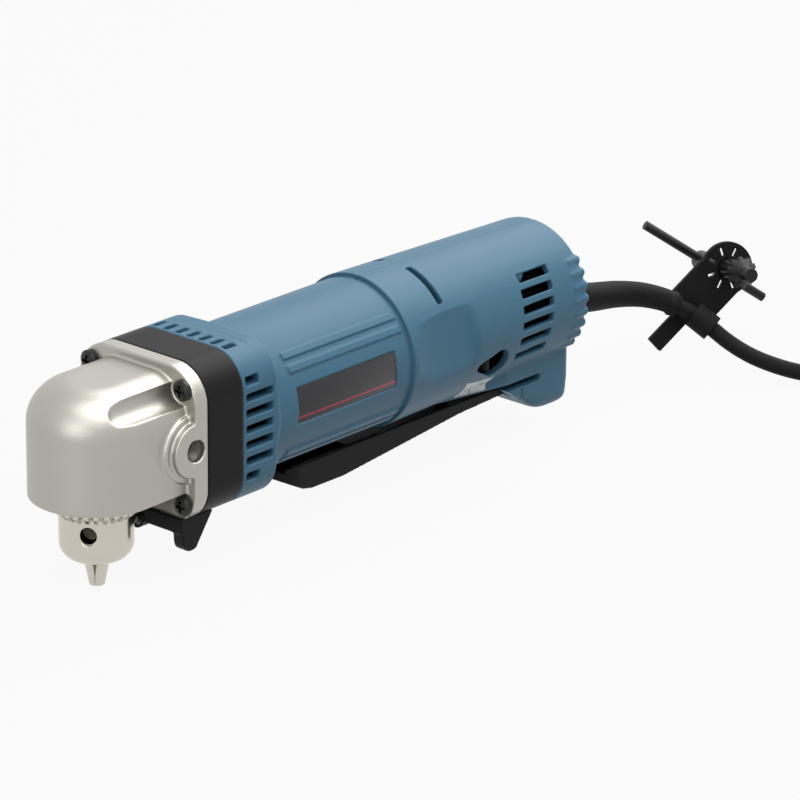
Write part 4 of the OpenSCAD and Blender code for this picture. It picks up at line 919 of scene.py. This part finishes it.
def screw_tree():
    """Instances a pan head screw with a cross recess on each point of a mesh."""
    tree = bpy.data.node_groups.new("pan_head_screws", "GeometryNodeTree")
    face = tree.interface
    face.new_socket("Points", in_out="INPUT", socket_type="NodeSocketGeometry")
    for label in ("Head Radius", "Head Height", "Shank Radius", "Shank Length"):
        face.new_socket(label, in_out="INPUT", socket_type="NodeSocketFloat")
    face.new_socket("Facing", in_out="INPUT", socket_type="NodeSocketVector")
    face.new_socket("Finish", in_out="INPUT", socket_type="NodeSocketMaterial")
    face.new_socket("Screws", in_out="OUTPUT", socket_type="NodeSocketGeometry")
    given = tree.nodes.new("NodeGroupInput")
    out = tree.nodes.new("NodeGroupOutput")
    link = tree.links.new

    def scaled(socket, factor):
        return maths(tree, "MULTIPLY", given.outputs[socket], factor)

    def vector(x=None, y=None, z=None):
        node = tree.nodes.new("ShaderNodeCombineXYZ")
        for axis, value in (("X", x), ("Y", y), ("Z", z)):
            if value is not None:
                link(value, node.inputs[axis])
        return node.outputs[0]

    def moved(node, shift, scale=(1, 1, 1)):
        transform = add(tree, "GeometryNodeTransform", Scale=scale)
        link(node.outputs["Mesh"], transform.inputs["Geometry"])
        link(shift, transform.inputs["Translation"])
        return transform.outputs["Geometry"]

    def combined(operation, *meshes):
        node = tree.nodes.new("GeometryNodeMeshBoolean")
        node.operation = operation
        node.solver = "EXACT"
        for i, mesh in enumerate(meshes):
            first_of_two = operation == "DIFFERENCE" and i == 0
            link(mesh, node.inputs["Mesh 1" if first_of_two else "Mesh 2"])
        return node.outputs["Mesh"]

    def bar(x, y):
        node = tree.nodes.new("GeometryNodeMeshCube")
        size = vector(scaled("Head Radius", x), scaled("Head Radius", y), scaled("Head Height", 1.0))
        link(size, node.inputs["Size"])
        return node

    rim = add(tree, "GeometryNodeMeshCylinder", Vertices=HEAD_SIDES)
    link(given.outputs["Head Radius"], rim.inputs["Radius"])
    link(scaled("Head Height", RIM_HIGH), rim.inputs["Depth"])
    dome = add(tree, "GeometryNodeMeshUVSphere", Segments=HEAD_SIDES, Rings=HEAD_RINGS)
    link(given.outputs["Head Radius"], dome.inputs["Radius"])
    shank = add(tree, "GeometryNodeMeshCylinder", Vertices=SHANK_SIDES)
    link(given.outputs["Shank Radius"], shank.inputs["Radius"])
    link(given.outputs["Shank Length"], shank.inputs["Depth"])
    body = combined(
        "UNION",
        moved(rim, vector(z=scaled("Head Height", RIM_HIGH / 2))),
        moved(dome, vector(z=scaled("Head Height", DOME_Z)), DOME_SCALE),
        moved(shank, vector(z=scaled("Shank Length", SHANK_Z))),
    )
    top = vector(z=scaled("Head Height", 1.0))
    long_way = moved(bar(CROSS_LONG, CROSS_WIDE), top)
    other_way = moved(bar(CROSS_WIDE, CROSS_LONG), top)
    screw = combined("DIFFERENCE", body, long_way, other_way)
    row = tree.nodes.new("GeometryNodeInstanceOnPoints")
    link(given.outputs["Points"], row.inputs["Points"])
    link(screw, row.inputs["Instance"])
    turn = tree.nodes.new("FunctionNodeEulerToRotation")
    link(given.outputs["Facing"], turn.inputs["Euler"])
    link(turn.outputs[0], row.inputs["Rotation"])
    real = tree.nodes.new("GeometryNodeRealizeInstances")
    link(row.outputs["Instances"], real.inputs["Geometry"])
    dressed = tree.nodes.new("GeometryNodeSetMaterial")
    link(real.outputs["Geometry"], dressed.inputs["Geometry"])
    link(given.outputs["Finish"], dressed.inputs["Material"])
    link(dressed.outputs["Geometry"], out.inputs["Screws"])
    return tree


SCREWS = screw_tree()


def screw_row(name, node, places, facing, head, shank):
    """A row of screws whose heads stand on the given places; head and shank are in mm."""
    mesh = bpy.data.meshes.new(name)
    mesh.from_pydata([tuple(p) for p in places], [], [])
    holder = placed(name, mesh)
    step = holder.modifiers.new("screws", "NODES")
    step.node_group = SCREWS
    values = {
        "Head Radius": head[0] * MM,
        "Head Height": head[1] * MM,
        "Shank Radius": shank[0] * MM,
        "Shank Length": shank[1] * MM,
        "Facing": facing,
        "Finish": finish[slot_of_node[node]],
    }
    for item in SCREWS.interface.items_tree:
        if item.item_type == "SOCKET" and item.in_out == "INPUT" and item.name in values:
            step[item.identifier] = values[item.name]
    graph = bpy.context.evaluated_depsgraph_get()
    made = bpy.data.meshes.new_from_object(holder.evaluated_get(graph))
    bpy.data.objects.remove(holder)
    crisp(made, 35)
    return stand_in(name, made, node)


def all_screws():
    """The head's screws, which face forwards, and the handle's, which face right."""
    seats = []
    for low, high in solids_of("housing_screws"):
        middle = (low + high) / 2
        seats.append((low.x + HEAD_SCREW[1] * MM, middle.y, middle.z))
    shank = (HEAD_SHANK_R, (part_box("housing_screws")[1][0] - seats[0][0]) / MM)
    screw_row("head_screws", "housing_screws", seats, (0, -math.pi / 2, 0), HEAD_SCREW, shank)
    seats = []
    for low, high in solids_of("handle_screws"):
        middle = (low + high) / 2
        seats.append((middle.x, high.y - HANDLE_SCREW[1] * MM, middle.z))
    screw_row("grip_screws", "handle_screws", seats, (-math.pi / 2, 0, 0), HANDLE_SCREW, HANDLE_SHANK)


all_screws()


# Cord guard: a smooth tapered sleeve with a bead at its end
GUARD_ROUTE = [
    (245, 0, 48.6), (251, 0, 47.1), (262, 0, 43), (280, 0, 38.4),
    (297, -1, 35.6), (310, -3.6, 32.6), (319, -8, 29.2), (323, -12, 26.4),
]
GUARD_STEPS = 10
GUARD_SIDES = 40
GUARD_R = (7.0, 4.6)
BEAD_HIGH = 0.6
BEAD_START = 4
BEAD_LONG = 3.4


def make_guard():
    line = [p * MM for p in smooth_line(GUARD_ROUTE, GUARD_STEPS)]
    whole = run_length(line)
    radii = []
    run = 0.0
    for i, point in enumerate(line):
        run += (point - line[i - 1]).length if i else 0.0
        radius = GUARD_R[0] + (GUARD_R[1] - GUARD_R[0]) * run / whole
        to_end = (whole - run) / MM
        if to_end < BEAD_START:
            radius += BEAD_HIGH * math.sin(math.pi * min(1, (BEAD_START - to_end) / BEAD_LONG))
        radii.append(radius * MM)
    mesh = tube_mesh("guard_sleeve", line, radii, GUARD_SIDES)
    return keep("guard_sleeve", mesh, "housing", slot_of_node["cord_guard"], "cord_guard")


make_guard()

# Finish for every CAD node that shows as it is
for name, node in nodes.items():
    dress(node.data, finish[slot_of_node[name]])


# Light and backdrop, in metres and watts
WHITE = (1, 1, 1, 1)
SOFT_LIGHT = 0.13
FLOOR_SIZE = 8.0
FLOOR_WHITE = 0.93
FLOOR_GREY = (0.32, 0.32, 0.32, 1)
FLOOR_ROUGH = 0.8
LIT_BARREL = (0.12, 0, 0.05)
LIT_HEAD = (0.05, 0, 0.05)


def area_light(name, place, aim, size, power):
    data = bpy.data.lights.new(name, "AREA")
    data.shape = "RECTANGLE"
    data.size, data.size_y = size
    data.energy = power
    lamp = placed(name, data)
    lamp.location = place
    lamp.rotation_euler = (Vector(aim) - Vector(place)).to_track_quat("-Z", "Y").to_euler()


def seen_mask(tree):
    """1 for rays that show the backdrop: from the camera, off polished metal and through glass."""
    path = tree.nodes.new("ShaderNodeLightPath")
    mask = path.outputs["Is Camera Ray"]
    for ray in ("Is Glossy Ray", "Is Transmission Ray"):
        mask = maths(tree, "MAXIMUM", mask, path.outputs[ray])
    return mask


def build_world():
    """A dim sky that shows white."""
    world = bpy.data.worlds.new("studio")
    scene.world = world
    world.use_nodes = True
    tree = world.node_tree
    tree.nodes.clear()
    out = tree.nodes.new("ShaderNodeOutputWorld")
    soft = add(tree, "ShaderNodeBackground", Color=WHITE, Strength=SOFT_LIGHT)
    shown = add(tree, "ShaderNodeBackground", Color=WHITE, Strength=1.0)
    tree.links.new(mixed(tree, seen_mask(tree), soft, shown), out.inputs["Surface"])


def build_floor():
    """A pale floor that shows white and keeps the object's soft shadow."""
    low, high = cad_box
    material, tree, shader = new_material("pale_floor")
    shader.inputs["Base Color"].default_value = FLOOR_GREY
    shader.inputs["Roughness"].default_value = FLOOR_ROUGH
    shown = add(tree, "ShaderNodeEmission", Strength=1.0)
    share = maths(tree, "MULTIPLY", seen_mask(tree), FLOOR_WHITE)
    tree.links.new(mixed(tree, share, shader, shown), tree.nodes["Material Output"].inputs["Surface"])
    middle = ((low[0] + high[0]) / 2, (low[1] + high[1]) / 2)
    half = FLOOR_SIZE / 2
    corners = []
    for x, y in ((-1, -1), (1, -1), (1, 1), (-1, 1)):
        corners.append((middle[0] + x * half, middle[1] + y * half, low[2]))
    mesh = bpy.data.meshes.new("floor")
    mesh.from_pydata(corners, [], [(0, 1, 2, 3)])
    mesh.materials.append(material)
    floor = placed("floor", mesh)


build_world()
build_floor()
area_light("top_light", (0.05, -0.6, 1.45), LIT_BARREL, (2.4, 1.6), 29)
area_light("back_light", (1.2, 0.1, 1.2), LIT_BARREL, (1.4, 1.4), 17)
area_light("left_light", (-1.4, -0.3, 0.5), LIT_HEAD, (0.9, 0.9), 4.5)

scene.view_settings.view_transform = "Standard"
